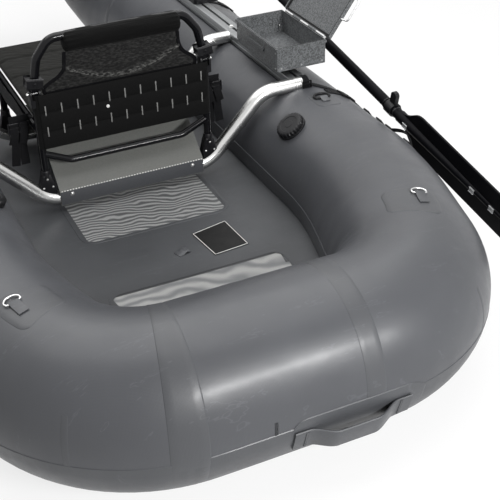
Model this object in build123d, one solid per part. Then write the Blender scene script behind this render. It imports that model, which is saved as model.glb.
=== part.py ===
from build123d import *
import math
import os

# One-person framed inflatable fishing raft, in millimetres.
# +Y is the bow, +X is starboard, +Z is up. The origin lies on the ground under the middle of the raft.

# Air tubes
LENGTH = 2740.0
TUBE_R = 185.0
GROUND_FLAT = 3.0
TUBE_Z = TUBE_R - GROUND_FLAT
SIDE_X = 516.0
END_Y = LENGTH / 2 - TUBE_R
CORNER_X = 393.5
SEAM_X = 150.0
STERN_BEND_Y = -718.5
CORNER_BEND_R = 268.0
SIDE_BEND_R = 1000.0
TAPER_START_Y = 580.0
ROCKER_X = 455.0
ROCKER_Y = 950.0
ROCKER_RISE = 20.0
BOW_CORNER_X = 330.0
BOW_RISE = 290.0
TAPER_BEND_R = 1000.0
ROCKER_BEND_R = 350.0
BOW_CORNER_R = 230.0

# Suspended floor from the stern tube to the front edge of the seat
FLOOR_Z = 163.0
FLOOR_T = 5.0
FLOOR_FRONT_Y = 265.0
MESH_T = 2.0
MESH_HALF = 195.0
FRONT_MESH_Y = (-528.0, -300.0)
STERN_MESH_Y = (-960.0, -775.0)
STERN_MESH_HALF = 220.0

# Metal frame
BAR_R = 19.0
BAR_LOW_Z = 197.0
BAR_HIGH_Z = 372.0
BAR_FLAT_HALF = 228.0
BAR_SHOULDER_X = 395.0
BAR_LOW_BEND_R = 110.0
BAR_HIGH_BEND_R = 90.0
REAR_BAR_Y = -325.0
FRONT_BAR_Y = 90.0
RAIL_X = 505.0
RAIL_W = 50.0
RAIL_TOP_Z = 390.0
RAIL_H = 32.0
RAIL_Y = (REAR_BAR_Y + 6, 560.0)
SLOT_MOUTH = 9.0
SLOT_W = 20.0
SLOT_LIP = 3.5
SLOT_DEPTH = 12.0
GROOVE_GAP = 0.3

# Seat
SEAT_Y = REAR_BAR_Y
POST_X = 228.0
SEAT_TUBE_R = 10.0
POST_FOOT_Z = 246.0
STRETCHER_Z = 299.0
STRETCHER_RISE = 34.0
STRETCHER_BEND_X = 155.0
SEAT_TOP_Z = 395.0
SEAT_FRONT_Y = 200.0
PIVOT_Z = 500.0
BACK_LEAN = 16.0
BOLSTER_X = (-143.0, 163.0)
BOLSTER_R = 29.0
BACK_TOP_Z = 634.0
PAN_HALF = 202.0
PAN_T = 3.0
PANEL_HALF = 235.0
PANEL_Z = (351.0, 500.0)
CUSHION_T = 28.0
STRAP_LEGS = ((243.0, 249.0), (269.0, 275.0))
STRAP_FOOT_Z = 285.0

# Gear box on the starboard rail
BOX_X = (456.0, 608.0)
BOX_Y = (-294.0, -27.0)
BOX_Z = (404.0, 472.0)
BOX_WALL = 2.5
BOX_RIM = 3.0
LID_T = 9.0
LID_GAP = 1.0
LID_OPEN_DEG = 126.0
HINGE_X = BOX_X[1] + 5.0
HINGE_Z = BOX_Z[1] + 1.0

# Oarlocks and oars
LOCK_X = 680.0
LOCK_Y = 395.0
OAR_Z = 494.0
OAR_REACH = (65.0, -1270.0, -271.0)
SHAFT_R = 15.0
OAR_INBOARD = 620.0
OAR_OUTBOARD = 1510.0
KEEPER_AT = 868.0
BLADE_ROOT = 925.0
BLADE_SHOULDER = 95.0
BLADE_HALF = 54.0
SLEEVE_R = 22.0
PIN_R = 8.0
ARM_Z = 433.0
SOCKET_Z = (418.0, 450.0)
PIN_CLEARANCE = 0.06

# Straps, handles and rings
FRAME_STRAP_Y = (-385.0, 440.0)
HANDLE_X = 92.0
HANDLE_HALF = 104.0
HANDLE_RAMP = 48.0
HANDLE_LIFT = 24.0
HANDLE_ANGLE = 18.0
HANDLE_W = 56.0
HANDLE_T = 7.0
TOW_RING_X = 77.0
TOW_ANGLE = 38.0
RING_SIZE = (36.0, 22.0, 2.1)
FRAME_RING_SIZE = (44.0, 26.0, 3.6)

SIDES = (("port", -1), ("starboard", 1))

os.makedirs("parts", exist_ok=True)


def save(name, shape):
    """Write one named piece to its own file."""
    export_step(shape, f"parts/{name}.step")


def bent_tube(points, radii, radius):
    """A round bar along straight runs joined by arcs."""
    path = FilletPolyline(*points, radius=radii)
    start = Plane(origin=path @ 0, z_dir=path % 0)
    return sweep(start * Circle(radius), path=path)


def rod(start, end, radius):
    """A straight round bar between two points."""
    run = Vector(*end) - Vector(*start)
    place = Plane(origin=start, z_dir=run)
    return place * Cylinder(radius, run.length, align=(Align.CENTER, Align.CENTER, Align.MIN))


def block(x, y, z):
    """A box given by its limits along each axis."""
    size = (x[1] - x[0], y[1] - y[0], z[1] - z[0])
    middle = ((x[0] + x[1]) / 2, (y[0] + y[1]) / 2, (z[0] + z[1]) / 2)
    return Pos(*middle) * Box(*size)


def mirrored(shape, side):
    """The shape itself on starboard, its mirror image on port."""
    return shape if side > 0 else shape.mirror(Plane.YZ)


def one(shape):
    """A plain compound or solid out of whatever a boolean returned."""
    solids = shape.solids()
    return solids[0] if len(solids) == 1 else Compound(children=list(solids))


def largest(shape):
    """The main solid, without slivers that a cut leaves behind."""
    return max(shape.solids(), key=lambda piece: piece.volume)


def tube_point(angle_deg, y, lift=0.0):
    """A point on the straight starboard side tube; 0 degrees is outboard, 90 is the ridge."""
    a = math.radians(angle_deg)
    reach = TUBE_R + lift
    return (SIDE_X + reach * math.cos(a), y, TUBE_Z + reach * math.sin(a))


# Air tubes


def side_tube_path():
    """Centre line of the starboard side tube, from its stern seam to its bow seam."""
    return (
        (SEAM_X, -END_Y, TUBE_Z),
        (CORNER_X, -END_Y, TUBE_Z),
        (SIDE_X, STERN_BEND_Y, TUBE_Z),
        (SIDE_X, TAPER_START_Y, TUBE_Z),
        (ROCKER_X, ROCKER_Y, TUBE_Z + ROCKER_RISE),
        (BOW_CORNER_X, END_Y, TUBE_Z + BOW_RISE),
        (SEAM_X, END_Y, TUBE_Z + BOW_RISE),
    )


def frame_groove():
    """The space that the frame presses out of the starboard tube's ridge."""
    half = RAIL_W / 2 + GROOVE_GAP
    channel = block(
        (RAIL_X - half, RAIL_X + half),
        (RAIL_Y[0] - GROOVE_GAP, RAIL_Y[1] + GROOVE_GAP),
        (RAIL_TOP_Z - RAIL_H - GROOVE_GAP, RAIL_TOP_Z + RAIL_H),
    )
    bars = [
        rod((BAR_SHOULDER_X, y, BAR_HIGH_Z), (bar_end(y) + GROOVE_GAP, y, BAR_HIGH_Z), BAR_R + GROOVE_GAP)
        for y in (REAR_BAR_Y, FRONT_BAR_Y)
    ]
    return [channel] + bars


def side_tube():
    radii = (CORNER_BEND_R, SIDE_BEND_R, TAPER_BEND_R, ROCKER_BEND_R, BOW_CORNER_R)
    tube = bent_tube(side_tube_path(), radii, TUBE_R)
    below = block((-10, 900), (-1500, 1500), (-200, 0))
    tube = tube - below
    for cut in frame_groove():
        tube = tube - cut
    return largest(tube)


def end_tube(y, z, flat):
    tube = rod((-SEAM_X, y, z), (SEAM_X, y, z), TUBE_R)
    if flat:
        tube = tube - block((-400, 400), (y - 300, y + 300), (-200, 0))
    return one(tube)


# Cargo floor


def floor_sheet(tubes):
    """The welded floor: a flat sheet trimmed to the tubes, open where the two meshes are."""
    z = (FLOOR_Z - FLOOR_T / 2, FLOOR_Z + FLOOR_T / 2)
    sheet = block((-SIDE_X, SIDE_X), (-END_Y, FLOOR_FRONT_Y), z)
    for tube in tubes:
        sheet = sheet - tube
    sheet = largest(sheet)
    for half, span in ((MESH_HALF, FRONT_MESH_Y), (STERN_MESH_HALF, STERN_MESH_Y)):
        sheet = sheet - mesh_blank(half, span, FLOOR_T * 2)
    return one(sheet)


def mesh_blank(half, span, thickness):
    """A mesh drain panel with rounded corners."""
    length = span[1] - span[0]
    outline = Pos(0, (span[0] + span[1]) / 2) * RectangleRounded(2 * half, length, 30)
    return Pos(0, 0, FLOOR_Z - thickness / 2) * extrude(outline, thickness)


# Frame


def bar_end(y):
    """The rear bar runs on under the rail's after end; the front bar stops at its inboard face."""
    return RAIL_X + RAIL_W / 2 if y == REAR_BAR_Y else RAIL_X - RAIL_W / 2


def crossbar(y, radius=BAR_R):
    """A bar that drops between the tubes and rises over their ridges to meet the rails."""
    end_x = bar_end(y)
    points = [
        (-end_x, y, BAR_HIGH_Z),
        (-BAR_SHOULDER_X, y, BAR_HIGH_Z),
        (-BAR_FLAT_HALF, y, BAR_LOW_Z),
        (BAR_FLAT_HALF, y, BAR_LOW_Z),
        (BAR_SHOULDER_X, y, BAR_HIGH_Z),
        (end_x, y, BAR_HIGH_Z),
    ]
    radii = (BAR_HIGH_BEND_R, BAR_LOW_BEND_R, BAR_LOW_BEND_R, BAR_HIGH_BEND_R)
    return bent_tube(points, radii, radius)


def rail():
    """Side rail: an extrusion with a T-slot that carries the oarlock stand and the box."""
    half = RAIL_W / 2
    low = RAIL_TOP_Z - RAIL_H
    section = Pos(RAIL_X, low + RAIL_H / 2) * RectangleRounded(RAIL_W, RAIL_H, 4)
    mouth = Pos(RAIL_X, RAIL_TOP_Z - SLOT_LIP / 2) * Rectangle(SLOT_MOUTH, SLOT_LIP * 2)
    cavity_z = RAIL_TOP_Z - SLOT_LIP - (SLOT_DEPTH - SLOT_LIP) / 2
    cavity = Pos(RAIL_X, cavity_z) * Rectangle(SLOT_W, SLOT_DEPTH - SLOT_LIP)
    flutes = [
        Pos(RAIL_X + sign * half, low + RAIL_H / 2) * Rectangle(3, 8) for sign in (-1, 1)
    ]
    profile = section - mouth - cavity - flutes[0] - flutes[1]
    face = Plane(origin=(0, RAIL_Y[1], 0), x_dir=(1, 0, 0), z_dir=(0, -1, 0)) * profile
    rail_end = rod((RAIL_X - RAIL_W, REAR_BAR_Y, BAR_HIGH_Z), (RAIL_X + RAIL_W, REAR_BAR_Y, BAR_HIGH_Z), BAR_R)
    return one(extrude(face, RAIL_Y[1] - RAIL_Y[0]) - rail_end)


# Seat


def seat_pan():
    """Pressed sheet that rises between the crossbars, with a flange bolted behind each."""
    middle = (REAR_BAR_Y + FRONT_BAR_Y) / 2
    reach = (FRONT_BAR_Y - REAR_BAR_Y) / 2
    lip_y = reach + BAR_R + PAN_T / 2
    half_profile = [(lip_y, 184), (lip_y, 222), (reach - 100, 330), (reach - 118, 338)]
    right = [(middle + y, z) for y, z in half_profile]
    left = [(middle - y, z) for y, z in half_profile]
    line = Polyline(*left, *reversed(right))
    band = offset(line, PAN_T / 2, side=Side.BOTH)
    face = Plane(origin=(-PAN_HALF, 0, 0), x_dir=(0, 1, 0), z_dir=(1, 0, 0)) * make_face(band)
    return one(extrude(face, 2 * PAN_HALF))


def seat_frame():
    """Black tube frame: posts, the dropped stretcher and the bar round the cushion."""
    level = STRETCHER_Z + STRETCHER_RISE
    stretcher = [
        (POST_X, SEAT_Y, level),
        (STRETCHER_BEND_X, SEAT_Y, STRETCHER_Z),
        (-STRETCHER_BEND_X, SEAT_Y, STRETCHER_Z),
        (-POST_X, SEAT_Y, level),
    ]
    top = [
        (POST_X, SEAT_Y, SEAT_TOP_Z),
        (POST_X, SEAT_FRONT_Y, SEAT_TOP_Z),
        (-POST_X, SEAT_FRONT_Y, SEAT_TOP_Z),
        (-POST_X, SEAT_Y, SEAT_TOP_Z),
    ]
    frame = bent_tube(stretcher, (32, 32), SEAT_TUBE_R - 1)
    frame = frame + bent_tube(top, (55, 55), SEAT_TUBE_R - 0.5)
    for _, side in SIDES:
        x = side * POST_X
        frame = frame + rod((x, SEAT_Y, POST_FOOT_Z), (x, SEAT_Y, PIVOT_Z - 14), SEAT_TUBE_R)
        frame = frame + rod((x, FRONT_BAR_Y, POST_FOOT_Z), (x, FRONT_BAR_Y, SEAT_TOP_Z), SEAT_TUBE_R)
    return one(frame)


def seat_bracket(side, y, frame, bars):
    """Foot casting that carries a seat post: a web over a saddle that hugs the crossbar."""
    x = side * POST_X
    low = BAR_LOW_Z + BAR_R - 4
    outline = [(x - 22, low), (x + 22, low), (x + 22, low + 22), (x + 11, 276), (x - 11, 276), (x - 22, low + 22)]
    face = make_face(Polyline(*outline, close=True))
    web = extrude(Plane(origin=(0, y, 0), x_dir=(1, 0, 0), z_dir=(0, -1, 0)) * face, 12.5, both=True)
    web = fillet(web.edges().filter_by(Axis.Y).group_by(Axis.Z)[-1], 8)
    inner, outer = sorted((x - side * 24, x + side * 30))
    saddle = crossbar(y, BAR_R + 5) & block((inner, outer), (y - 30, y + 30), (low - 12, 300))
    foot = web + saddle
    for cut in [frame] + bars:
        foot = foot - cut
    return largest(foot)


def seat_cushion():
    pad = block(
        (-POST_X - 14, POST_X + 14),
        (SEAT_Y + 26, SEAT_FRONT_Y + 14),
        (SEAT_TOP_Z + SEAT_TUBE_R, SEAT_TOP_Z + SEAT_TUBE_R + CUSHION_T),
    )
    return fillet(pad.edges(), 10)


def seat_panel():
    """Webbing panel behind the cushion, laced round the two rear posts."""
    rear = SEAT_Y - 13.5
    return block((-PANEL_HALF, PANEL_HALF), (rear - 5, rear), PANEL_Z)


def side_straps(side):
    """Webbing that hangs in a V beside the cushion, with the tie that holds it to the cushion's edge."""
    y = SEAT_Y + 55
    outlines = [
        [(x_top, 418), (x_top + 22, 418), (x_foot + 27, STRAP_FOOT_Z), (x_foot, STRAP_FOOT_Z)]
        for x_top, x_foot in STRAP_LEGS
    ]
    outlines.append([(POST_X + 14, 408), (292, 408), (292, 426), (POST_X + 14, 426)])
    strips = [
        extrude(Plane(origin=(0, y, 0), x_dir=(1, 0, 0), z_dir=(0, -1, 0)) * make_face(Polyline(*line, close=True)), 1.5, both=True)
        for line in outlines
    ]
    return one(mirrored(strips[0] + strips[1] + strips[2], side))


def hinge_clevis(side):
    """Fork on top of a rear post, with the pin that the backrest folds about."""
    x = side * POST_X
    fork = block((x - 14, x + 14), (SEAT_Y - 13, SEAT_Y + 13), (PIVOT_Z - 34, PIVOT_Z))
    round_end = rod((x - 14, SEAT_Y, PIVOT_Z), (x + 14, SEAT_Y, PIVOT_Z), 13)
    slot = block((x - 9, x + 9), (SEAT_Y - 14, SEAT_Y + 14), (PIVOT_Z - 14, PIVOT_Z + 20))
    socket = rod((x, SEAT_Y, PIVOT_Z - 40), (x, SEAT_Y, PIVOT_Z - 14), SEAT_TUBE_R)
    pin = rod((x - 16, SEAT_Y, PIVOT_Z), (x + 16, SEAT_Y, PIVOT_Z), 4)
    return one((fork + round_end) - slot - socket + pin)


def back_hoop():
    """Folding backrest hoop, with a tongue in each clevis."""
    shoulder = POST_X - BACK_LEAN
    points = [
        (POST_X, SEAT_Y, PIVOT_Z + 16),
        (shoulder, SEAT_Y, BACK_TOP_Z - 46),
        (shoulder - 36, SEAT_Y, BACK_TOP_Z),
        (36 - shoulder, SEAT_Y, BACK_TOP_Z),
        (-shoulder, SEAT_Y, BACK_TOP_Z - 46),
        (-POST_X, SEAT_Y, PIVOT_Z + 16),
    ]
    hoop = bent_tube(points, (44,) * 4, SEAT_TUBE_R + 1)
    for _, side in SIDES:
        x = side * POST_X
        tongue = block((x - 7, x + 7), (SEAT_Y - 8, SEAT_Y + 8), (PIVOT_Z, PIVOT_Z + 18))
        eye = rod((x - 7, SEAT_Y, PIVOT_Z), (x + 7, SEAT_Y, PIVOT_Z), 9)
        bore = rod((x - 8, SEAT_Y, PIVOT_Z), (x + 8, SEAT_Y, PIVOT_Z), 4 + PIN_CLEARANCE)
        hoop = hoop + (tongue + eye - bore)
    return one(hoop)


def back_bolster(hoop):
    z = BACK_TOP_Z - 15
    roll = rod((BOLSTER_X[0], SEAT_Y, z), (BOLSTER_X[1], SEAT_Y, z), BOLSTER_R)
    return one(fillet(roll.edges(), 12) - hoop)


def back_mesh():
    """Mesh web under the bolster that spreads out to the hoop's feet."""
    top, waist, foot = BACK_TOP_Z - 44.5, PIVOT_Z + 46, PIVOT_Z + 3
    outline = [
        (-140, top), (158, top), (161, waist), (176, foot + 24), (203, foot + 10), (203, foot),
        (-203, foot), (-203, foot + 10), (-172, foot + 24), (-147, waist),
    ]
    face = Plane(origin=(0, SEAT_Y + 2, 0), x_dir=(1, 0, 0), z_dir=(0, -1, 0)) * make_face(
        Polyline(*outline, close=True)
    )
    return one(extrude(face, 4))


# Gear box


def box_region(inset, low, high):
    """The box's plan, shrunk by the inset, between two heights."""
    return block((BOX_X[0] + inset, BOX_X[1] - inset), (BOX_Y[0] + inset, BOX_Y[1] - inset), (low, high))


def gear_box():
    """Folded sheet box with a turned-out rim and a pressed rib on its inboard wall."""
    shell = box_region(0, *BOX_Z)
    shell = fillet(shell.edges().filter_by(Axis.Z), 4)
    inner = box_region(BOX_WALL, BOX_Z[0] + BOX_WALL, BOX_Z[1] + 1)
    inner = fillet(inner.edges().filter_by(Axis.Z), 2)
    rim = box_region(-BOX_RIM, BOX_Z[1] - 8, BOX_Z[1])
    rim = fillet(rim.edges().filter_by(Axis.Z), 4)
    rib = block((BOX_X[0] - 4, BOX_X[0]), (BOX_Y[0] + 80, BOX_Y[1] - 80), (BOX_Z[0] + 34, BOX_Z[0] + 44))
    rib = fillet(rib.edges().filter_by(Axis.X), 4)
    hinge_room = rod((HINGE_X, BOX_Y[0] - 5, HINGE_Z), (HINGE_X, BOX_Y[1] + 5, HINGE_Z), 5.5)
    return one(shell + rim + rib - inner - hinge_room)


def hinge_spans():
    """Start, end and owner of each knuckle along the lid's hinge."""
    length = BOX_Y[1] - BOX_Y[0] - 30
    step = length / 5
    first = BOX_Y[0] + 15
    return [(first + i * step + 0.5, first + (i + 1) * step - 0.5, i % 2) for i in range(5)]


def box_hinge():
    """Knuckles and pin that stay with the box."""
    pin = rod((HINGE_X, BOX_Y[0] + 15, HINGE_Z), (HINGE_X, BOX_Y[1] - 15, HINGE_Z), 2)
    shape = pin
    for start, end, on_lid in hinge_spans():
        if not on_lid:
            knuckle = rod((HINGE_X, start, HINGE_Z), (HINGE_X, end, HINGE_Z), 4.5)
            leaf = block((BOX_X[1] + 3, HINGE_X), (start, end), (HINGE_Z - 12, HINGE_Z - 2))
            shape = shape + knuckle + leaf
    return one(shape)


def lid_closed():
    """The lid as it sits on the rim, before it is swung open."""
    low = BOX_Z[1] + LID_GAP
    outer = box_region(-BOX_RIM, low, low + LID_T)
    outer = fillet(outer.edges().filter_by(Axis.Z), 4)
    inner = box_region(1, low - 1, low + LID_T - 2.5)
    lid = outer - inner
    relief = rod((HINGE_X, BOX_Y[0] - 5, HINGE_Z), (HINGE_X, BOX_Y[1] + 5, HINGE_Z), 6)
    lid = lid - relief
    for start, end, on_lid in hinge_spans():
        if on_lid:
            knuckle = rod((HINGE_X, start, HINGE_Z), (HINGE_X, end, HINGE_Z), 4.5)
            leaf = block((BOX_X[1] - 1, HINGE_X), (start, end), (HINGE_Z + 2, HINGE_Z + LID_T - 2))
            lid = lid + knuckle + leaf
    bore = rod((HINGE_X, BOX_Y[0], HINGE_Z), (HINGE_X, BOX_Y[1], HINGE_Z), 2 + PIN_CLEARANCE)
    return one(lid - bore)


def lid_gasket():
    """Seal seated in the lid, just inside its edge."""
    low = BOX_Z[1] + LID_GAP + 2
    high = BOX_Z[1] + LID_GAP + LID_T - 2.5
    return one(box_region(1, low, high) - box_region(6, low - 1, high + 1))


def lid_handle():
    """Wire loop on the lid's after edge."""
    z = BOX_Z[1] + LID_GAP + LID_T / 2
    y = BOX_Y[0] - 3
    x0, x1 = BOX_X[0] + 22, BOX_X[0] + 92
    points = [(x0, y, z), (x0 + 4, y - 24, z + 4), (x1 - 4, y - 24, z + 4), (x1, y, z)]
    return bent_tube(points, (8, 8), 3)


def swing_open(shape):
    """Turn a lid piece from closed to its open rest position."""
    hinge = Axis((HINGE_X, 0, HINGE_Z), (0, 1, 0))
    return shape.rotate(hinge, LID_OPEN_DEG)


def box_mount():
    """Bracket between the rail and the box: a clamp block and two wedge-shaped webs under a plate."""
    under = BOX_Z[0] - 4
    plate = block((BOX_X[0] + 14, BOX_X[1] - 10), (-262, -62), (under, BOX_Z[0]))
    plate = fillet(plate.edges().filter_by(Axis.Z), 10)
    clamp = block((RAIL_X - 20, RAIL_X + 24), (-205, -115), (RAIL_TOP_Z, under))
    wedge = make_face(
        Polyline(
            (RAIL_X - 22, RAIL_TOP_Z), (RAIL_X + 25, RAIL_TOP_Z), (BOX_X[1] - 14, under - 2),
            (BOX_X[1] - 14, under), (RAIL_X - 22, under), close=True,
        )
    )
    shape = plate + clamp
    for y in (-252.0, -66.0):
        shape = shape + extrude(Plane(origin=(0, y, 0), x_dir=(1, 0, 0), z_dir=(0, -1, 0)) * wedge, 6)
    return one(shape)


# Oarlocks and oars


def lock_stand():
    """Foot block on the rail and the arm out to the oarlock socket."""
    foot = block((RAIL_X - 25, RAIL_X + 62), (LOCK_Y - 42, LOCK_Y + 42), (RAIL_TOP_Z, RAIL_TOP_Z + 16))
    foot = fillet(foot.edges().filter_by(Axis.Z), 12)
    arm = bent_tube(
        [
            (RAIL_X + 14, LOCK_Y, RAIL_TOP_Z + 14),
            (RAIL_X + 44, LOCK_Y, ARM_Z),
            (LOCK_X, LOCK_Y, ARM_Z),
        ],
        (24,),
        11,
    )
    low, high = SOCKET_Z
    socket = rod((LOCK_X, LOCK_Y, low), (LOCK_X, LOCK_Y, high), 15)
    bore = rod((LOCK_X, LOCK_Y, low - 10), (LOCK_X, LOCK_Y, high + 10), PIN_R + PIN_CLEARANCE)
    return one((arm + socket - bore) + foot)


def oar_frame():
    """Local frame of the starboard oar: its z runs out to the blade, its x is up."""
    run = Vector(*OAR_REACH)
    across = run.cross(Vector(0, 0, 1)).normalized()
    up = across.cross(run).normalized()
    return Plane(origin=(LOCK_X, LOCK_Y, OAR_Z), x_dir=up, z_dir=run.normalized())


def horn_frame():
    """Upright frame across the oar: local x is across, local y is up."""
    run = Vector(OAR_REACH[0], OAR_REACH[1], 0).normalized()
    return Plane(origin=(LOCK_X, LOCK_Y, OAR_Z), x_dir=Vector(0, 0, 1).cross(run), z_dir=run)


def lock_horn():
    """Swivelling fork that the oar lies in, on its vertical pin."""
    frame = horn_frame()
    reach, bar = 32.0, 5.5
    line = Polyline((-reach, 30), (-reach, 0)) + ThreePointArc((-reach, 0), (0, -reach), (reach, 0))
    line = line + Polyline((reach, 0), (reach, 30))
    up = 1 if frame.y_dir.Z > 0 else -1
    wire = Wire([edge.mirror(Plane.XZ) if up < 0 else edge for edge in line.edges()])
    path = frame.from_local_coords(wire)
    section = Plane(origin=path @ 0, z_dir=path % 0) * Circle(bar)
    fork = sweep(section, path=path)
    collar_top = OAR_Z - reach
    collar = rod((LOCK_X, LOCK_Y, SOCKET_Z[1] + 0.5), (LOCK_X, LOCK_Y, collar_top), 13)
    pin = rod((LOCK_X, LOCK_Y, SOCKET_Z[0] - 4), (LOCK_X, LOCK_Y, SOCKET_Z[1] + 2), PIN_R)
    return one(fork + collar + pin)


def oar_shaft(frame):
    """Shaft with the sleeve and stop collar that ride in the oarlock."""
    align = (Align.CENTER, Align.CENTER, Align.MIN)
    shaft = Pos(0, 0, -OAR_INBOARD + 110) * Cylinder(SHAFT_R, OAR_INBOARD - 110 + BLADE_ROOT, align=align)
    sleeve = Pos(0, 0, -70) * Cylinder(SLEEVE_R, 140, align=align)
    stop = Pos(0, 0, -58) * Cylinder(34, 14, align=align)
    return one(frame * (shaft + sleeve + stop))


def oar_grip(frame):
    align = (Align.CENTER, Align.CENTER, Align.MIN)
    grip = Pos(0, 0, -OAR_INBOARD) * Cylinder(SHAFT_R + 2, 110, align=align)
    return one(frame * fillet(grip.edges(), 6))


def oar_blade(frame):
    """Thin blade that swells from the shaft in an S-curve, with a tapering spine and a moulded boss."""
    root, full = BLADE_ROOT, BLADE_ROOT + BLADE_SHOULDER
    neck = SHAFT_R + 2
    swell = Bezier((neck, root), (neck, root + 50), (BLADE_HALF, full - 45), (BLADE_HALF, full))
    edge = Line((BLADE_HALF, full), (BLADE_HALF, OAR_OUTBOARD))
    sides = swell + edge
    tip = Line((BLADE_HALF, OAR_OUTBOARD), (-BLADE_HALF, OAR_OUTBOARD))
    base = Line((-neck, root), (neck, root))
    outline = make_face(Wire(sides.edges() + sides.mirror(Plane.YZ).edges() + [tip.edge(), base.edge()]))
    sheet = extrude(outline, 3, both=True)
    sheet = fillet(sheet.edges().filter_by(Axis.Z).group_by(Axis.Y)[-1], 30)
    boss = Pos(34, full + 30, 0) * Cylinder(10, 8)
    sheet = Plane(origin=(0, 0, 0), x_dir=(1, 0, 0), z_dir=(0, -1, 0)) * (sheet + boss)
    spine = loft(
        [
            Plane.XY.offset(root) * Circle(neck),
            Plane.XY.offset(full + 60) * Circle(14),
            Plane.XY.offset(OAR_OUTBOARD - 90) * Circle(6),
        ],
        ruled=True,
    )
    return one(frame * (sheet + spine))


def oar_keeper(frame):
    """Clip round the shaft with an upright rounded tab."""
    align = (Align.CENTER, Align.CENTER, Align.MIN)
    ring = Pos(0, 0, KEEPER_AT) * Cylinder(SHAFT_R + 5, 30, align=align)
    tab = Pos(32, 0, KEEPER_AT + 18) * Box(42, 12, 24)
    tab = fillet(tab.edges().filter_by(Axis.Y).group_by(Axis.X)[-1], 10)
    bore = Pos(0, 0, KEEPER_AT - 40) * Cylinder(SHAFT_R, 110, align=align)
    return one(frame * (ring + tab - bore))


# Fittings on the tubes


def valve():
    """Round air valve: base flange, body and stepped cap on the inboard shoulder."""
    angle = 127.0
    y = -482.0
    base = tube_point(angle, y, -4)
    steps = ((42, 0, 7), (36, 7, 13), (30, 13, 19))
    shape = None
    for radius, low, high in steps:
        ring = rod(tube_point(angle, y, -4 + low), tube_point(angle, y, -4 + high), radius)
        shape = ring if shape is None else shape + ring
    grip = Plane(origin=tube_point(angle, y, 15), z_dir=Vector(*tube_point(angle, y)) - Vector(*base))
    return one(shape + grip * Box(50, 9, 8))


def d_ring(width, depth, wire):
    """A D-shaped wire ring in the XY plane: a straight bar along X and a rounded bow."""
    half = width / 2
    line = FilletPolyline(
        (-half, 0), (half, 0), (half, depth * 0.55), (half * 0.5, depth),
        (-half * 0.5, depth), (-half, depth * 0.55), radius=half * 0.22, close=True,
    )
    start = Plane(origin=line @ 0, z_dir=line % 0)
    return sweep(start * Circle(wire), path=line)


def shoulder_ring(x, y, heading_deg, offset, size):
    """A ring that lies on a tube, a little outboard of the ridge."""
    lean = math.asin(offset / TUBE_R)
    turn = math.radians(heading_deg)
    out = (math.cos(turn), -math.sin(turn))
    x_dir = (out[0] * math.cos(lean), out[1] * math.cos(lean), -math.sin(lean))
    normal = (out[0] * math.sin(lean), out[1] * math.sin(lean), math.cos(lean))
    z = TUBE_Z + TUBE_R * math.cos(lean)
    place = Plane(origin=(x, y, z), x_dir=x_dir, z_dir=normal)
    return place * (Pos(0, 0, size[2] + 0.05) * d_ring(*size))


def frame_strap(y):
    """Webbing that ties the rail down over the tube's outer shoulder."""
    start, end = 26.0, 76.0
    inner, outer = TUBE_R + 0.4, TUBE_R + 3.0
    disc = Cylinder(outer, 28) - Cylinder(inner, 40)
    lay = Plane(origin=(SIDE_X, y, TUBE_Z), x_dir=(1, 0, 0), z_dir=(0, -1, 0))
    far = 2.2 * TUBE_R
    corners = [
        (0, 0),
        (far * math.cos(math.radians(start)), far * math.sin(math.radians(start))),
        (far * math.cos(math.radians(end)), far * math.sin(math.radians(end))),
    ]
    wedge = extrude(make_face(Polyline(*corners, close=True)), 20, both=True)
    return one(lay * (disc & wedge))


def keeper_strap():
    """Strap along the tube's outer shoulder that the oar keeper clips to."""
    inner, outer = TUBE_R + 0.4, TUBE_R + 3.4
    y0, y1 = -640.0, -402.0
    disc = Cylinder(outer, y1 - y0) - Cylinder(inner, y1 - y0 + 10)
    lay = Plane(origin=(SIDE_X, (y0 + y1) / 2, TUBE_Z), x_dir=(1, 0, 0), z_dir=(0, -1, 0))
    far = 2.2 * TUBE_R
    angles = (30.0, 38.0)
    corners = [(0, 0)] + [
        (far * math.cos(math.radians(a)), far * math.sin(math.radians(a))) for a in angles
    ]
    wedge = extrude(make_face(Polyline(*corners, close=True)), y1 - y0, both=True)
    return one(lay * (disc & wedge))


def grab_handle(y_sign, z_axis, x_middle):
    """Wide moulded strap that bows off the end tube's outer face."""
    tilt = math.radians(HANDLE_ANGLE)

    def on_face(x, lift):
        reach = TUBE_R + lift
        return (x, y_sign * (END_Y + reach * math.cos(tilt)), z_axis - reach * math.sin(tilt))

    run = HANDLE_HALF - HANDLE_RAMP
    points = [
        on_face(x_middle - HANDLE_HALF, 0),
        on_face(x_middle - run, HANDLE_LIFT),
        on_face(x_middle + run, HANDLE_LIFT),
        on_face(x_middle + HANDLE_HALF, 0),
    ]
    path = FilletPolyline(*points, radius=(70, 70))
    across = (0, -y_sign * math.sin(tilt), -math.cos(tilt))
    start = Plane(origin=path @ 0, x_dir=across, z_dir=path % 0)
    return one(sweep(start * RectangleRounded(HANDLE_W, HANDLE_T, HANDLE_T * 0.4), path=path))


def tow_ring(y_sign, z_axis, x):
    """A ring that hangs from the end tube's lower shoulder."""
    tilt = math.radians(TOW_ANGLE)
    reach = TUBE_R + 2.3
    origin = (x, y_sign * (END_Y + reach * math.cos(tilt)), z_axis - reach * math.sin(tilt))
    return Plane(origin=origin, x_dir=(1, 0, 0), z_dir=(0, 1, 0)) * d_ring(32, 24, 2.2)


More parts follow.
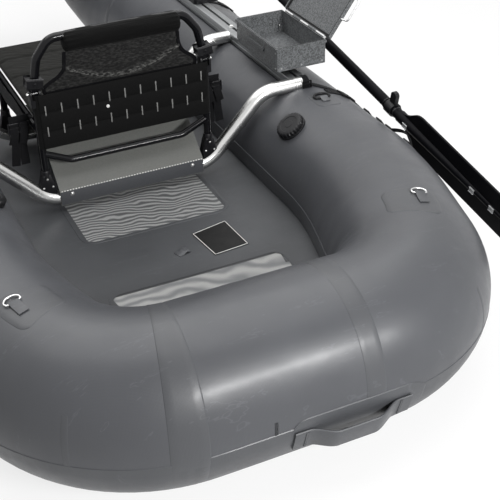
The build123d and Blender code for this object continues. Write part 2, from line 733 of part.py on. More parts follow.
def build():
    starboard_tube = side_tube()
    port_tube = one(mirrored(starboard_tube, -1))
    stern_tube = end_tube(-END_Y, TUBE_Z, True)
    bow_tube = end_tube(END_Y, TUBE_Z + BOW_RISE, False)
    save("starboard_tube", starboard_tube)
    save("port_tube", port_tube)
    save("stern_tube", stern_tube)
    save("bow_tube", bow_tube)

    save("cargo_floor", floor_sheet([starboard_tube, port_tube, stern_tube]))
    save("forward_mesh", mesh_blank(MESH_HALF, FRONT_MESH_Y, MESH_T))
    save("stern_mesh", mesh_blank(STERN_MESH_HALF, STERN_MESH_Y, MESH_T))

    bars = [crossbar(REAR_BAR_Y), crossbar(FRONT_BAR_Y)]
    save("rear_crossbar", bars[0])
    save("front_crossbar", bars[1])
    frame = seat_frame()
    save("seat_pan", seat_pan())
    save("seat_frame", frame)
    brackets = [
        seat_bracket(side, y, frame, bars) for _, side in SIDES for y in (REAR_BAR_Y, FRONT_BAR_Y)
    ]
    save("seat_brackets", Compound(children=brackets))
    save("seat_cushion", seat_cushion())
    save("seat_panel", seat_panel())
    hoop = back_hoop()
    save("back_hoop", hoop)
    save("back_bolster", back_bolster(hoop))
    save("back_mesh", back_mesh())

    save("gear_box", gear_box())
    save("box_hinge", box_hinge())
    save("box_mount", box_mount())
    lid = lid_closed()
    save("box_lid", one(swing_open(lid)))
    save("lid_gasket", one(swing_open(lid_gasket())))
    save("lid_handle", one(swing_open(lid_handle() - lid)))

    place = oar_frame()
    pieces = {
        "rail": rail(),
        "lock_stand": lock_stand(),
        "lock_horn": lock_horn(),
        "oar_shaft": oar_shaft(place),
        "oar_grip": oar_grip(place),
        "oar_blade": oar_blade(place),
        "oar_keeper": oar_keeper(place),
    }
    for name, piece in pieces.items():
        for label, side in SIDES:
            save(f"{label}_{name}", one(mirrored(piece, side)))

    pairs = {
        "air_valves": valve() - starboard_tube,
        "keeper_straps": keeper_strap(),
        "side_straps": side_straps(1),
        "hinge_clevises": hinge_clevis(1),
    }
    for name, piece in pairs.items():
        save(name, Compound(children=[one(mirrored(piece, side)) for _, side in SIDES]))

    webbing = [frame_strap(y) for y in FRAME_STRAP_Y]
    webbing.append(shoulder_ring(SIDE_X + 10, -432, 0, 10, FRAME_RING_SIZE))
    straps = [mirrored(piece, side) for piece in webbing for _, side in SIDES]
    save("frame_straps", Compound(children=[one(strap) for strap in straps]))
    corner = shoulder_ring(473, -991, 14.7, 28, RING_SIZE)
    rings = [mirrored(corner, side) for _, side in SIDES]
    rings.append(tow_ring(-1, TUBE_Z, TOW_RING_X))
    rings.append(tow_ring(1, TUBE_Z + BOW_RISE, 0))
    save("d_rings", Compound(children=[one(ring) for ring in rings]))
    save("stern_handle", one(grab_handle(-1, TUBE_Z, HANDLE_X) - stern_tube - starboard_tube))
    save("bow_handle", one(grab_handle(1, TUBE_Z + BOW_RISE, 0) - bow_tube))


build()
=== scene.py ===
"""Looks of a framed inflatable raft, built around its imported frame.

Metres throughout. +Y is the bow, +X is starboard, +Z is up, and the ground is z = 0.
"""
import math

import bpy
import bmesh
from mathutils import Matrix, Vector, noise

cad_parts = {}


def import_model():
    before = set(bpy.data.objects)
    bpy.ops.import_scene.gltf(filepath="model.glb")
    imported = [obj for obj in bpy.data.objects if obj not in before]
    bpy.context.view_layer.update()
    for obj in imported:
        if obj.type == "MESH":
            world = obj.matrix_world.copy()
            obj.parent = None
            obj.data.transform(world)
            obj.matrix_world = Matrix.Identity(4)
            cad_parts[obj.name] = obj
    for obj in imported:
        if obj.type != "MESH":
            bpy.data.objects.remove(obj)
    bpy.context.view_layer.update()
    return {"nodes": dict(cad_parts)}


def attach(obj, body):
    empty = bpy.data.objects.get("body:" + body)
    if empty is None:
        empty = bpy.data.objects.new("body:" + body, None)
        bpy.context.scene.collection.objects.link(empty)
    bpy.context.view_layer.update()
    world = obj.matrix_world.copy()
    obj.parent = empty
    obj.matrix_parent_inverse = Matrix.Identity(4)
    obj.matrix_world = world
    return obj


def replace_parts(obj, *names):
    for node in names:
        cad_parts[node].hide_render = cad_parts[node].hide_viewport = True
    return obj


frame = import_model()
NODES = frame["nodes"]

X, Y, UP = Vector((1, 0, 0)), Vector((0, 1, 0)), Vector((0, 0, 1))
SIDES = (("port", -1), ("starboard", 1))

# Air tubes, repeated from the part's driving dimensions
TUBE_R = 0.185
TUBE_Z = 0.182
END_Y = 1.185
SIDE_X = 0.516
BOW_Z = TUBE_Z + 0.290
CORNERS = (
    (0.0, -END_Y, TUBE_Z),
    (0.3935, -END_Y, TUBE_Z),
    (SIDE_X, -0.7185, TUBE_Z),
    (SIDE_X, 0.580, TUBE_Z),
    (0.455, 0.950, TUBE_Z + 0.020),
    (0.330, END_Y, BOW_Z),
    (0.0, END_Y, BOW_Z),
)
BENDS = (0.268, 1.0, 1.0, 0.35, 0.23)
SEAM_X = 0.150

# Frame and floor
RAIL_X = 0.505
RAIL_HALF = 0.025
RAIL_Y = (-0.319, 0.560)
RAIL_LOW = 0.358
RAIL_TOP = 0.390
BAR_Y = (-0.325, 0.090)
BAR_R = 0.019
BAR_Z = 0.372
FLOOR_Z = 0.1655
FLOOR_FRONT = 0.265
FLOOR_SAG = 0.003
MESHES = (("forward_mesh", 0.195, -0.528, -0.300), ("stern_mesh", 0.220, -0.960, -0.775))
MESH_CORNER = 0.030

# Seat
SEAT_Y = -0.325
POST_X = 0.228
SEAT_PANEL_Y = -0.3435
PANEL_Z = (0.351, 0.500)
STRAP_Y = -0.270

# Camera, from the fit of the tubes' outlines in the photograph
CAMERA_AT = (-0.767, -2.7835, 1.591)
CAMERA_YAW = 24.3245
CAMERA_PITCH = 32.4803
CAMERA_ROLL = -1.6797
CAMERA_LENS = 77.64
WORLD_FILL = 0.22


class Look:
    """One material with short calls to add and join its nodes."""

    def __init__(self, name, colour, roughness, metallic=0.0, **sockets):
        self.material = bpy.data.materials.new(name)
        self.material.use_nodes = True
        self.tree = self.material.node_tree
        self.shader = self.tree.nodes["Principled BSDF"]
        values = {"Base Color": (*colour, 1.0), "Roughness": roughness, "Metallic": metallic}
        for key, value in {**values, **sockets}.items():
            self.shader.inputs[key].default_value = value
        self.normal = None

    def add(self, kind, inputs=None, **settings):
        node = self.tree.nodes.new("ShaderNode" + kind)
        for key, value in settings.items():
            setattr(node, key, value)
        for key, value in (inputs or {}).items():
            self.put(node.inputs[key], value)
        return node

    def put(self, socket, value):
        if isinstance(value, bpy.types.NodeSocket):
            self.tree.links.new(value, socket)
        elif socket.type == "RGBA" and not isinstance(value, (int, float)) and len(value) == 3:
            socket.default_value = (*value, 1.0)
        else:
            socket.default_value = value

    def where(self, kind="Object", scale=(1, 1, 1), turn=(0, 0, 0)):
        """Coordinates in metres: the shared frame (Object) or the piece's own flat pattern (UV)."""
        source = self.add("TexCoord").outputs[kind]
        mapping = self.add("Mapping", {"Vector": source, "Scale": scale, "Rotation": turn})
        return mapping.outputs["Vector"]

    def noise(self, scale, vector, detail=2.0, roughness=0.5):
        inputs = {"Vector": vector, "Scale": scale, "Detail": detail, "Roughness": roughness}
        node = self.add("TexNoise", inputs)
        return node.outputs["Fac"]

    def bands(self, vector, pitch, sway, size):
        """Wandering bands across Y, one each pitch; size is how long a bend in them is."""
        scale = math.tau / 20 / pitch
        inputs = {"Vector": vector, "Scale": scale, "Distortion": sway}
        inputs |= {"Detail": 2.0, "Detail Scale": 1 / (size * scale)}
        return self.add("TexWave", inputs, bands_direction="Y").outputs["Fac"]

    def maths(self, operation, a, b=0.0):
        return self.add("Math", {0: a, 1: b}, operation=operation).outputs[0]

    def ramp(self, value, *stops):
        """Map a value through (position, grey or colour) stops."""
        node = self.add("ValToRGB", {"Fac": value})
        elements = node.color_ramp.elements
        while len(elements) < len(stops):
            elements.new(0.5)
        for element, (position, colour) in zip(elements, stops):
            element.position = position
            rgb = (colour,) * 3 if isinstance(colour, (int, float)) else colour
            element.color = (*rgb, 1.0)
        return node.outputs["Color"]

    def mix(self, factor, a, b):
        node = self.add("Mix", data_type="RGBA")
        self.put(node.inputs[0], factor)
        self.put(node.inputs[6], a)
        self.put(node.inputs[7], b)
        return node.outputs[2]

    def stripes(self, vector, axis, pitch):
        """0 to 1 ridges along one axis of the coordinates, one each pitch."""
        part = self.add("SeparateXYZ", {"Vector": vector}).outputs[axis]
        wave = self.maths("SINE", self.maths("MULTIPLY", part, math.tau / pitch))
        return self.maths("ADD", self.maths("MULTIPLY", wave, 0.5), 0.5)

    def weave(self, vector, pitch_x, pitch_y, axes=("X", "Y")):
        """A plain weave's height: two sets of rounded ridges."""
        a = self.stripes(vector, axes[0], pitch_x)
        b = self.stripes(vector, axes[1], pitch_y)
        return self.maths("MAXIMUM", self.maths("POWER", a, 2.0), self.maths("POWER", b, 2.0))

    def colour(self, value):
        self.put(self.shader.inputs["Base Color"], value)
        return self

    def rough(self, value):
        self.put(self.shader.inputs["Roughness"], value)
        return self

    def bump(self, height, distance, strength=1.0):
        inputs = {"Height": height, "Distance": distance, "Strength": strength}
        if self.normal is not None:
            inputs["Normal"] = self.normal
        self.normal = self.add("Bump", inputs).outputs["Normal"]
        self.put(self.shader.inputs["Normal"], self.normal)
        return self


def shade(colour, share):
    return tuple(c * share for c in colour)


# Materials


def coated_fabric(name, colour, roughness, space="UV"):
    """Reinforced coated cloth: the scrim shows faintly through a skin with scuffs and fine scratches."""
    gloss = {"Specular IOR Level": 0.30, "Coat Weight": 0.14, "Coat Roughness": 0.25}
    look = Look(name, colour, roughness, **gloss)
    spot = look.where(space)
    place = look.where("Object")
    cloud = look.ramp(look.noise(2.6, place, 5.0), (0.3, shade(colour, 0.86)), (0.72, shade(colour, 1.12)))
    lines = look.noise(9.0, look.where("Object", (1, 7, 1), (0.2, 0.1, 0.7)), 3.0, 0.65)
    scratch = look.ramp(lines, (0.625, 0.0), (0.640, 0.35), (0.655, 0.0))
    look.colour(look.mix(scratch, cloud, shade(colour, 1.9)))
    smear = look.noise(11.0, place, 6.0, 0.6)
    look.rough(look.ramp(smear, (0.28, roughness - 0.07), (0.655, roughness + 0.09)))
    look.bump(look.weave(spot, 0.0026, 0.0026), 0.00009, 0.8)
    look.bump(look.noise(34.0, place, 4.0, 0.55), 0.0011, 0.22)
    return look.material


def drain_mesh(name, dark, light, pitch, sway, size, stops):
    """Open weave whose threads beat against each other in wandering bands, with the openings between threads
    painted darker as shade.
    """
    look = Look(name, light, 0.6)
    spot = look.where("Object")
    bands = look.bands(look.where("Object", (1, 1, 1), (0, 0, 0.22)), pitch, sway, size)
    grain = look.weave(spot, 0.0030, 0.0030)
    tone = look.ramp(bands, (stops[0], dark), (stops[1], light))
    # Painted shade: the openings between the threads are darkened.
    look.colour(look.mix(look.ramp(grain, (0.3, 0.5), (0.8, 0.0)), tone, shade(dark, 0.6)))
    look.bump(grain, 0.0006, 0.8)
    return look.material


def metal(name, colour, roughness, grain=0.0, scale=(1, 1, 1)):
    look = Look(name, colour, roughness, 1.0)
    spot = look.where("Object", scale)
    look.rough(look.ramp(look.noise(7.0, spot, 2.0), (0.3, roughness * 0.85), (0.75, roughness * 1.2)))
    look.colour(look.ramp(look.noise(9.0, spot, 3.0), (0.3, shade(colour, 0.86)), (0.7, colour)))
    if grain:
        look.bump(look.noise(900.0, spot, 2.0), 0.0002, grain)
    return look.material


def painted(name, colour, roughness, speckle=0.1, bumpy=0.3, specular=0.5, size=420.0):
    """Paint or moulded plastic with a fine speckle and a slight orange peel."""
    look = Look(name, colour, roughness, **{"Specular IOR Level": specular})
    spot = look.where("Object")
    fine = look.noise(size, spot, 3.0, 0.6)
    dark, bright = shade(colour, 1 - 0.6 * speckle), shade(colour, 1 + speckle)
    look.colour(look.ramp(fine, (0.38, dark), (0.6, bright)))
    look.rough(look.ramp(look.noise(30.0, spot, 4.0), (0.3, roughness * 0.85), (0.75, roughness * 1.2)))
    look.bump(fine, 0.0004, bumpy)
    return look.material


def webbing(name, colour, pitch=(0.0021, 0.0015), roughness=0.62):
    """Woven strap: ribs across, finer picks along, the grooves between ribs painted darker as shade, with
    worn lighter threads.
    """
    sheen = {"Specular IOR Level": 0.08, "Sheen Weight": 0.02, "Sheen Roughness": 0.5}
    look = Look(name, colour, roughness, **sheen)
    spot = look.where("UV")
    ribs = look.weave(spot, *pitch)
    worn = look.ramp(look.noise(160.0, spot, 3.0), (0.6, 0.0), (0.75, 0.5))
    # Painted shade: the grooves between the ribs are darker.
    tone = look.ramp(ribs, (0.2, shade(colour, 0.5)), (0.9, colour))
    look.colour(look.mix(worn, tone, shade(colour, 2.2)))
    look.bump(ribs, 0.0005, 0.7)
    return look.material


def sagging_fold(look, spot):
    """0 on the net's sagging fold, rising to 1 two centimetres away from it."""
    parts = look.add("SeparateXYZ", {"Vector": spot})
    across = look.maths("SUBTRACT", parts.outputs["X"], 0.004)
    sag = look.maths("MULTIPLY", look.maths("POWER", look.maths("ABSOLUTE", across), 2.0), 1.95)
    height = look.maths("SUBTRACT", look.maths("SUBTRACT", parts.outputs["Z"], 0.5075), sag)
    return look.maths("MULTIPLY", look.maths("ABSOLUTE", height), 50.0)


def net_cloth(name, colour, pitch, axes, fold_highlight=None, creases=0.0):
    """Spacer mesh: a knitted face whose small holes are painted dark as shade, and, where a fold highlight
    colour is given, painted highlights on its threads along the sagging crease.
    """
    sheen = {"Specular IOR Level": 0.07, "Sheen Weight": 0.02, "Sheen Roughness": 0.5}
    look = Look(name, colour, 0.75, **sheen)
    spot = look.where("Object")
    holes = look.maths("MULTIPLY", look.stripes(spot, axes[0], pitch), look.stripes(spot, axes[1], pitch))
    # Painted shade: the holes are darker than the threads around them.
    tone = look.ramp(holes, (0.1, colour), (0.55, shade(colour, 0.3)))
    if fold_highlight:
        # Painted highlight: light glints on the threads, strongest along the net's sagging fold.
        glint_noise = look.noise(150.0, look.where("Object", (0.6, 1, 1.8)), 3.0, 0.7)
        threads = look.maths("SUBTRACT", 1.0, holes)
        thread_glints = look.maths("MULTIPLY", look.ramp(glint_noise, (0.44, 0.0), (0.66, 1.0)), threads)
        near_fold = look.ramp(sagging_fold(look, spot), (0.0, 0.9), (0.5, 0.16))
        tone = look.mix(look.maths("MULTIPLY", thread_glints, near_fold), tone, fold_highlight)
    look.colour(tone)
    look.bump(holes, 0.0012, 0.7)
    if creases:
        look.bump(look.noise(28.0, look.where("Object", (1, 1.6, 1.6)), 4.0, 0.6), 0.006, creases)
    return look.material


MATERIALS = {
    "tube": coated_fabric("tube_fabric", (0.058, 0.060, 0.066), 0.38),
    "patch": coated_fabric("patch_fabric", (0.057, 0.059, 0.064), 0.41),
    "wear": coated_fabric("wear_strip_fabric", (0.052, 0.054, 0.059), 0.42),
    "floor": coated_fabric("floor_fabric", (0.046, 0.048, 0.052), 0.50, "Object"),
    "mesh": drain_mesh(
        "drain_mesh", (0.075, 0.077, 0.08), (0.36, 0.365, 0.36), 0.0150, 15.0, 0.10, (0.25, 0.85)
    ),
    "mesh_stern": drain_mesh(
        "stern_drain_mesh", (0.20, 0.205, 0.21), (0.46, 0.46, 0.45), 0.040, 9.0, 0.12, (0.05, 0.95)
    ),
    "polished": metal("polished_bar", (0.66, 0.66, 0.65), 0.27),
    "alloy": metal("rail_alloy", (0.36, 0.37, 0.375), 0.36, 0.2, (1, 0.05, 1)),
    "steel": metal("ring_steel", (0.72, 0.72, 0.72), 0.25),
    "bolt": metal("bolt_steel", (0.62, 0.62, 0.61), 0.34),
    "pan": painted("pan_sheet", (0.108, 0.110, 0.103), 0.42, 0.12, 0.2, 0.35),
    "black_tube": painted("black_frame", (0.004, 0.004, 0.005), 0.17, 0.1, 0.05, 0.22),
    "black_cast": painted("black_casting", (0.005, 0.005, 0.006), 0.40, 0.3, 0.6, 0.2),
    "box": painted("box_paint", (0.090, 0.094, 0.097), 0.46, 0.7, 0.8, 0.35, 260.0),
    "box_edge": painted("box_edge_paint", (0.26, 0.265, 0.27), 0.4, 0.2, 0.3),
    "rubber": painted("seal_rubber", (0.008, 0.008, 0.008), 0.7, 0.2, 0.4, 0.2),
    "moulded": painted("moulded_black", (0.006, 0.006, 0.007), 0.38, 0.2, 0.4, 0.22),
    "oar": painted("oar_black", (0.003, 0.003, 0.004), 0.46, 0.15, 0.15, 0.06),
    "blade": painted("blade_black", (0.003, 0.003, 0.004), 0.42, 0.2, 0.25, 0.06),
    "grip": painted("grip_rubber", (0.014, 0.014, 0.014), 0.8, 0.3, 0.8, 0.2),
    "webbing": webbing("black_webbing", (0.007, 0.007, 0.008)),
    "panel": webbing("panel_webbing", (0.006, 0.006, 0.006), (0.0032, 0.0022), 0.7),
    "binding": webbing("binding_tape", (0.003, 0.003, 0.004), (0.0016, 0.0014), 0.6),
    "thread": webbing("tack_thread", (0.36, 0.36, 0.35), (0.0012, 0.0009), 0.7),
    "handle": painted("grey_moulding", (0.056, 0.058, 0.063), 0.42, 0.15, 0.3, 0.4),
    "cushion": net_cloth("cushion_cloth", (0.020, 0.020, 0.0185), 0.0042, ("X", "Y"), None, 1.0),
    "bolster": net_cloth("bolster_cloth", (0.004, 0.004, 0.004), 0.0030, ("X", "Z"), None, 0.3),
    # The light colour passed here is the painted highlight along the net's fold.
    "net": net_cloth("back_net", (0.016, 0.016, 0.016), 0.0034, ("X", "Z"), (0.22, 0.22, 0.21), 0.6),
    # Painted shade: a darker copy of the pan's grey for its flange faces.
    "pan_flange_shade": painted("pan_flange_shade_paint", (0.050, 0.052, 0.057), 0.45, 0.2, 0.3, 0.3),
    "plate": painted("plate_black", (0.007, 0.007, 0.007), 0.45, 0.2, 0.1, 0.15),
    "border": painted("plate_border", (0.72, 0.72, 0.70), 0.45, 0.05, 0.1),
}

NODE_LOOKS = {
    "port_tube": "tube", "starboard_tube": "tube", "stern_tube": "tube", "bow_tube": "tube",
    "cargo_floor": "floor", "forward_mesh": "mesh", "stern_mesh": "mesh_stern",
    "rear_crossbar": "polished", "front_crossbar": "polished", "seat_pan": "pan",
    "seat_frame": "black_tube", "seat_brackets": "black_cast", "seat_cushion": "cushion",
    "seat_panel": "panel", "side_straps": "webbing", "hinge_clevises": "moulded",
    "back_hoop": "black_tube", "back_bolster": "bolster", "back_mesh": "net",
    "gear_box": "box", "box_lid": "box", "box_mount": "black_cast", "box_hinge": "steel",
    "lid_gasket": "rubber", "lid_handle": "steel", "air_valves": "moulded",
    "keeper_straps": "webbing", "frame_straps": "webbing", "d_rings": "steel",
    "stern_handle": "handle", "bow_handle": "handle",
}
PAIR_LOOKS = {
    "rail": "alloy", "lock_stand": "black_cast", "lock_horn": "black_tube", "oar_shaft": "oar",
    "oar_grip": "grip", "oar_blade": "blade", "oar_keeper": "moulded",
}


def dress_nodes():
    """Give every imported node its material."""
    looks = dict(NODE_LOOKS)
    for label, _ in SIDES:
        looks.update({f"{label}_{name}": look for name, look in PAIR_LOOKS.items()})
    for name, look in looks.items():
        mesh = NODES[name].data
        mesh.materials.clear()
        mesh.materials.append(MATERIALS[look])


# The tubes' centre line and surface


class Line:
    """Straight runs joined by arcs, read by the distance from the start."""

    def __init__(self, corners, radii):
        corners = [Vector(c) for c in corners]
        self.pieces = []
        here = corners[0]
        for before, corner, after, radius in zip(corners, corners[1:], corners[2:], radii):
            d0 = (corner - before).normalized()
            d1 = (after - corner).normalized()
            angle = d0.angle(d1)
            cut = radius * math.tan(angle / 2)
            start = corner - d0 * cut
            self.pieces.append((here, d0, (start - here).length, None, 0.0))
            side = (d1 - d0 * d1.dot(d0)).normalized()
            self.pieces.append((start, d0, radius * angle, side, radius))
            here = corner + d1 * cut
        last = corners[-1] - here
        self.pieces.append((here, last.normalized(), last.length, None, 0.0))
        self.length = sum(piece[2] for piece in self.pieces)

    def at(self, distance):
        """The point and direction that far along the line."""
        for start, along, length, side, radius in self.pieces[:-1]:
            if distance <= length:
                break
            distance -= length
        else:
            start, along, length, side, radius = self.pieces[-1]
        if side is None:
            return start + along * distance, along
        a = distance / radius
        point = start + along * (radius * math.sin(a)) + side * (radius * (1 - math.cos(a)))
        return point, along * math.cos(a) + side * math.sin(a)

    def at_y(self, y):
        """How far along the line it reaches that y."""
        low, high = 0.0, self.length
        for _ in range(30):
            middle = (low + high) / 2
            if self.at(middle)[0].y < y:
                low = middle
            else:
                high = middle
        return low


HALF = Line(CORNERS, BENDS)


def smooth(x):
    """0 to 1 with level ends."""
    x = min(max(x, 0.0), 1.0)
    return x * x * (3 - 2 * x)


def pressed(p):
    """Where the frame and the ground press the tube in."""
    ax = abs(p.x)
    off_x = max(abs(ax - RAIL_X) - RAIL_HALF, 0.0)
    off_y = max(RAIL_Y[0] - p.y, p.y - RAIL_Y[1], 0.0)
    gap = math.hypot(off_x, off_y)
    p.z = min(p.z, RAIL_LOW - 0.0005 + 0.55 * gap + 6.0 * gap * gap)
    for y in BAR_Y:
        if 0.38 < ax < 0.53:
            off = max(abs(p.y - y) - 0.006, 0.0)
            p.z = min(p.z, BAR_Z - BAR_R + 0.9 * off + 12.0 * off * off)
    p.z = max(p.z, 0.0)
    return p


def ripple(point, angle):
    """Small pleats on the inside of a bend and soft waves elsewhere, in metres."""
    inside = smooth((abs(angle % 360 - 180) - 75) / -45)
    corner = smooth((abs(point.y) - 0.80) / 0.15) * inside
    pleats = noise.noise(Vector((point.x * 26, point.y * 26, angle * 0.02)))
    waves = noise.noise(point * 5.0)
    return 0.0022 * corner * pleats + 0.0009 * waves - 0.0009


def skin(s, angle, lift=0.0, side=1):
    """A point on the tubes: s along the half loop from the stern's middle, angle in degrees from
    outboard (0) over the ridge (90) to inboard (180)."""
    point, along = HALF.at(abs(s))
    if s < 0:
        point = Vector((-point.x, point.y, point.z))
        along = Vector((along.x, -along.y, -along.z))
    out = along.cross(UP).normalized()
    top = out.cross(along)
    a = math.radians(angle)
    radial = out * math.cos(a) + top * math.sin(a)
    p = pressed(point + radial * (TUBE_R + ripple(point, angle))) + radial * lift
    return Vector((p.x * side, p.y, p.z))


def end_skin(x, angle, lift, bow):
    """A point on the stern or bow cross tube, angle in degrees from its outer side."""
    sign, z = (1, BOW_Z) if bow else (-1, TUBE_Z)
    a = math.radians(angle)
    reach = TUBE_R + lift
    return Vector((x, sign * (END_Y + reach * math.cos(a)), z + reach * math.sin(a)))


# Mesh helpers


def running(points):
    """Distance from the first point to each."""
    total = [0.0]
    for a, b in zip(points, points[1:]):
        total.append(total[-1] + (b - a).length)
    return total


def span(start, end, step):
    """Evenly spaced values from start to end, about a step apart."""
    count = max(int(round(abs(end - start) / step)), 1)
    return [start + (end - start) * i / count for i in range(count + 1)]


def flowing(points, steps=8):
    """A smooth run of places through a few given ones."""
    spots = [Vector(p) for p in points]
    spots = [spots[0] * 2 - spots[1]] + spots + [spots[-1] * 2 - spots[-2]]
    run = []
    for a, b, c, d in zip(spots, spots[1:], spots[2:], spots[3:]):
        for i in range(steps):
            t = i / steps
            square = (a * 2 - b * 5 + c * 4 - d) * t**2
            cube = (b * 3 - a - c * 3 + d) * t**3
            run.append((b * 2 + (c - a) * t + square + cube) / 2)
    run.append(spots[-2])
    return run


def tangents(path, loop=False):
    last = len(path) - 1
    found = []
    for i in range(len(path)):
        before = path[i - 1] if i or loop else path[i]
        after = path[(i + 1) % len(path)] if i < last or loop else path[i]
        found.append((after - before).normalized())
    return found


class Kit:
    """Shapes gathered into one piece, each with its own flat pattern in metres."""

    def __init__(self):
        self.shapes = bmesh.new()
        self.pattern = self.shapes.loops.layers.uv.new("cloth")

    def rows(self, rows, ring=True, loop=False, caps=True):
        """Faces over rows of points; ring closes each row, loop joins the last row to the first."""
        grid = [[self.shapes.verts.new(p) for p in row] for row in rows]
        middle = rows[len(rows) // 2]
        across = running([*middle, middle[0]])
        along = running([row[0] for row in rows] + [rows[0][0]])
        high, wide = len(rows), len(middle)
        for i in range(high if loop else high - 1):
            for j in range(wide if ring else wide - 1):
                n, k = (i + 1) % high, (j + 1) % wide
                face = self.shapes.faces.new((grid[i][j], grid[i][k], grid[n][k], grid[n][j]))
                for corner, (u, v) in zip(face.loops, ((j, i), (j + 1, i), (j + 1, i + 1), (j, i + 1))):
                    corner[self.pattern].uv = (across[u], along[v])
        if ring and caps and not loop:
            self.shapes.faces.new(list(reversed(grid[0])))
            self.shapes.faces.new(grid[-1])

    def block(self, at, size, axes=(X, Y, UP), edge=0.0008, segments=2):
        """A box with rounded edges."""
        made = bmesh.ops.create_cube(self.shapes, size=1.0)["verts"]
        for vert in made:
            offsets = [axis * (c * s) for axis, c, s in zip(axes, vert.co, size)]
            vert.co = Vector(at) + offsets[0] + offsets[1] + offsets[2]
        edges = list({e for vert in made for e in vert.link_edges})
        bmesh.ops.bevel(self.shapes, geom=edges, offset=edge, segments=segments, affect="EDGES", profile=0.5)

    def turned(self, at, axis, profile, around=20, knurl=0.0):
        """A turned shape from (height, radius) steps; knurl ribs the widest of them."""
        axis = Vector(axis).normalized()
        side = axis.orthogonal().normalized()
        other = axis.cross(side)
        widest = max(radius for _, radius in profile) * 0.84
        rows = []
        for height, radius in profile:
            row = []
            for i in range(around):
                rib = 1 + knurl * (1 if i % 4 < 2 else -1) * (radius > widest)
                a = math.tau * i / around
                spoke = side * math.cos(a) + other * math.sin(a)
                row.append(Vector(at) + axis * height + spoke * radius * rib)
            rows.append(row)
        self.rows(rows)

    def bolt(self, at, axis, radius=0.005, height=0.003):
        """A washer with a domed head on it."""
        head = radius * 0.72
        steps = [(-0.001, radius), (0.0006, radius), (0.0010, radius * 0.92), (0.0010, head)]
        steps += [(height * 0.7, head), (height * 0.92, head * 0.8), (height, head * 0.45)]
        self.turned(at, axis, steps)

    def wire(self, path, radius, normal, loop=False, around=10):
        """Round bar along a path that lies flat against one normal."""
        path = [Vector(p) for p in path]
        rows = []
        for point, along in zip(path, tangents(path, loop)):
            across = along.cross(normal).normalized()
            up = across.cross(along)
            turns = [math.tau * i / around for i in range(around)]
            rows.append([point + (across * math.cos(a) + up * math.sin(a)) * radius for a in turns])
        self.rows(rows, loop=loop)

    def strap(self, path, normals, width, thickness, loop=False):
        """Flat webbing with rounded edges along a path; its face looks along the normals."""
        half, thin = width / 2, thickness / 2
        edge = min(thin, half / 4)
        top = [(-half, 0.0), (-half + edge * 0.4, thin * 0.8), (-half + edge, thin)]
        top += [(0.0, thin), (half - edge, thin), (half - edge * 0.4, thin * 0.8), (half, 0.0)]
        section = top + [(u, -v) for u, v in reversed(top[1:-1])]
        rows = []
        for point, along, normal in zip(path, tangents(path, loop), normals):
            across = along.cross(normal).normalized()
            out = across.cross(along)
            rows.append([point + across * u + out * v for u, v in section])
        self.rows(rows, loop=loop)

    def buckle(self, at, along, normal, width=0.025, length=0.026):
        """Ladder buckle: two sides and three bars."""
        along, normal = Vector(along).normalized(), Vector(normal).normalized()
        across = along.cross(normal)
        axes = (across, along, normal)
        for sign in (-1, 1):
            bar_at = Vector(at) + across * (sign * (width / 2 + 0.0025))
            self.block(bar_at, (0.0035, length, 0.0045), axes, 0.0010)
        for share in (-0.44, 0.0, 0.44):
            self.block(Vector(at) + along * (share * length), (width + 0.005, 0.0038, 0.0040), axes, 0.0010)

    def finish(self, name, look, body="raft", crease=38.0):
        bmesh.ops.recalc_face_normals(self.shapes, faces=self.shapes.faces[:])
        mesh = bpy.data.meshes.new(name)
        self.shapes.to_mesh(mesh)
        self.shapes.free()
        mesh.shade_smooth()
        mesh.set_sharp_from_angle(angle=math.radians(crease))
        return add_object(name, mesh, look, body)


def add_object(name, mesh, look, body="raft"):
    obj = bpy.data.objects.new(name, mesh)
    bpy.context.scene.collection.objects.link(obj)
    mesh.materials.clear()
    mesh.materials.append(MATERIALS[look])
    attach(obj, body)
    return obj


def edged(half, corner=0.0, step=0.012):
    """Places from -half to half, closer together near the ends."""
    inner = half - max(corner, 0.002)
    ends = [half - d for d in (0.0, 0.0007, 0.0020)]
    if corner:
        ends += [inner + corner * math.cos(math.radians(a)) for a in (30, 45, 60, 75)]
    ends = sorted({round(e, 6) for e in ends if e > inner + 0.0002})
    return [-e for e in reversed(ends)] + span(-inner, inner, step) + ends


def edge_lift(distance, lift):
    """A patch's height over the skin, that far in from its edge."""
    return lift * smooth(distance / 0.0020) - 0.0005 * (distance < 0.0001)


def spread(half, count):
    """A given number of places from -half to half, with three close together at each end."""
    inner = max(half - 0.0020, half * 0.6)
    middle = [inner * (2 * i / (count - 1) - 1) for i in range(count)]
    ends = [inner + (half - inner) * 0.65, half]
    return [-e for e in reversed(ends)] + middle + ends


def patch(kit, s, angle, half_s, half_a, side=1, lift=0.0014, corner=0.020):
    """A rounded patch glued on the tubes; half sizes are in metres."""
    count = max(int(half_a / 0.005), 4)
    rows = []
    for u in edged(half_s, corner):
        over = max(abs(u) - (half_s - corner), 0.0)
        half = half_a - corner + math.sqrt(max(corner * corner - over * over, 0.0))
        row = []
        for v in spread(half, count):
            inset = min(half - abs(v), half_s - abs(u))
            row.append(skin(s + u, angle + math.degrees(v / TUBE_R), edge_lift(inset, lift), side))
        rows.append(row)
    kit.rows(rows, ring=False)


def tape(kit, start, end, side=1, lift=0.0010, angles=None):
    """A strip round the tube between two stations, all round or between two angles."""
    half = (end - start) / 2
    rows = []
    for u in edged(half):
        height = edge_lift(half - abs(u), lift)
        if angles is None:
            rows.append([skin((start + end) / 2 + u, a, height, side) for a in span(0, 357, 3)])
        else:
            turns = span(*angles, 3)
            lifts = [height if 0 < i < len(turns) - 1 else -0.0005 for i in range(len(turns))]
            rows.append([skin((start + end) / 2 + u, a, h, side) for a, h in zip(turns, lifts)])
    kit.rows(rows, ring=angles is None, caps=False)


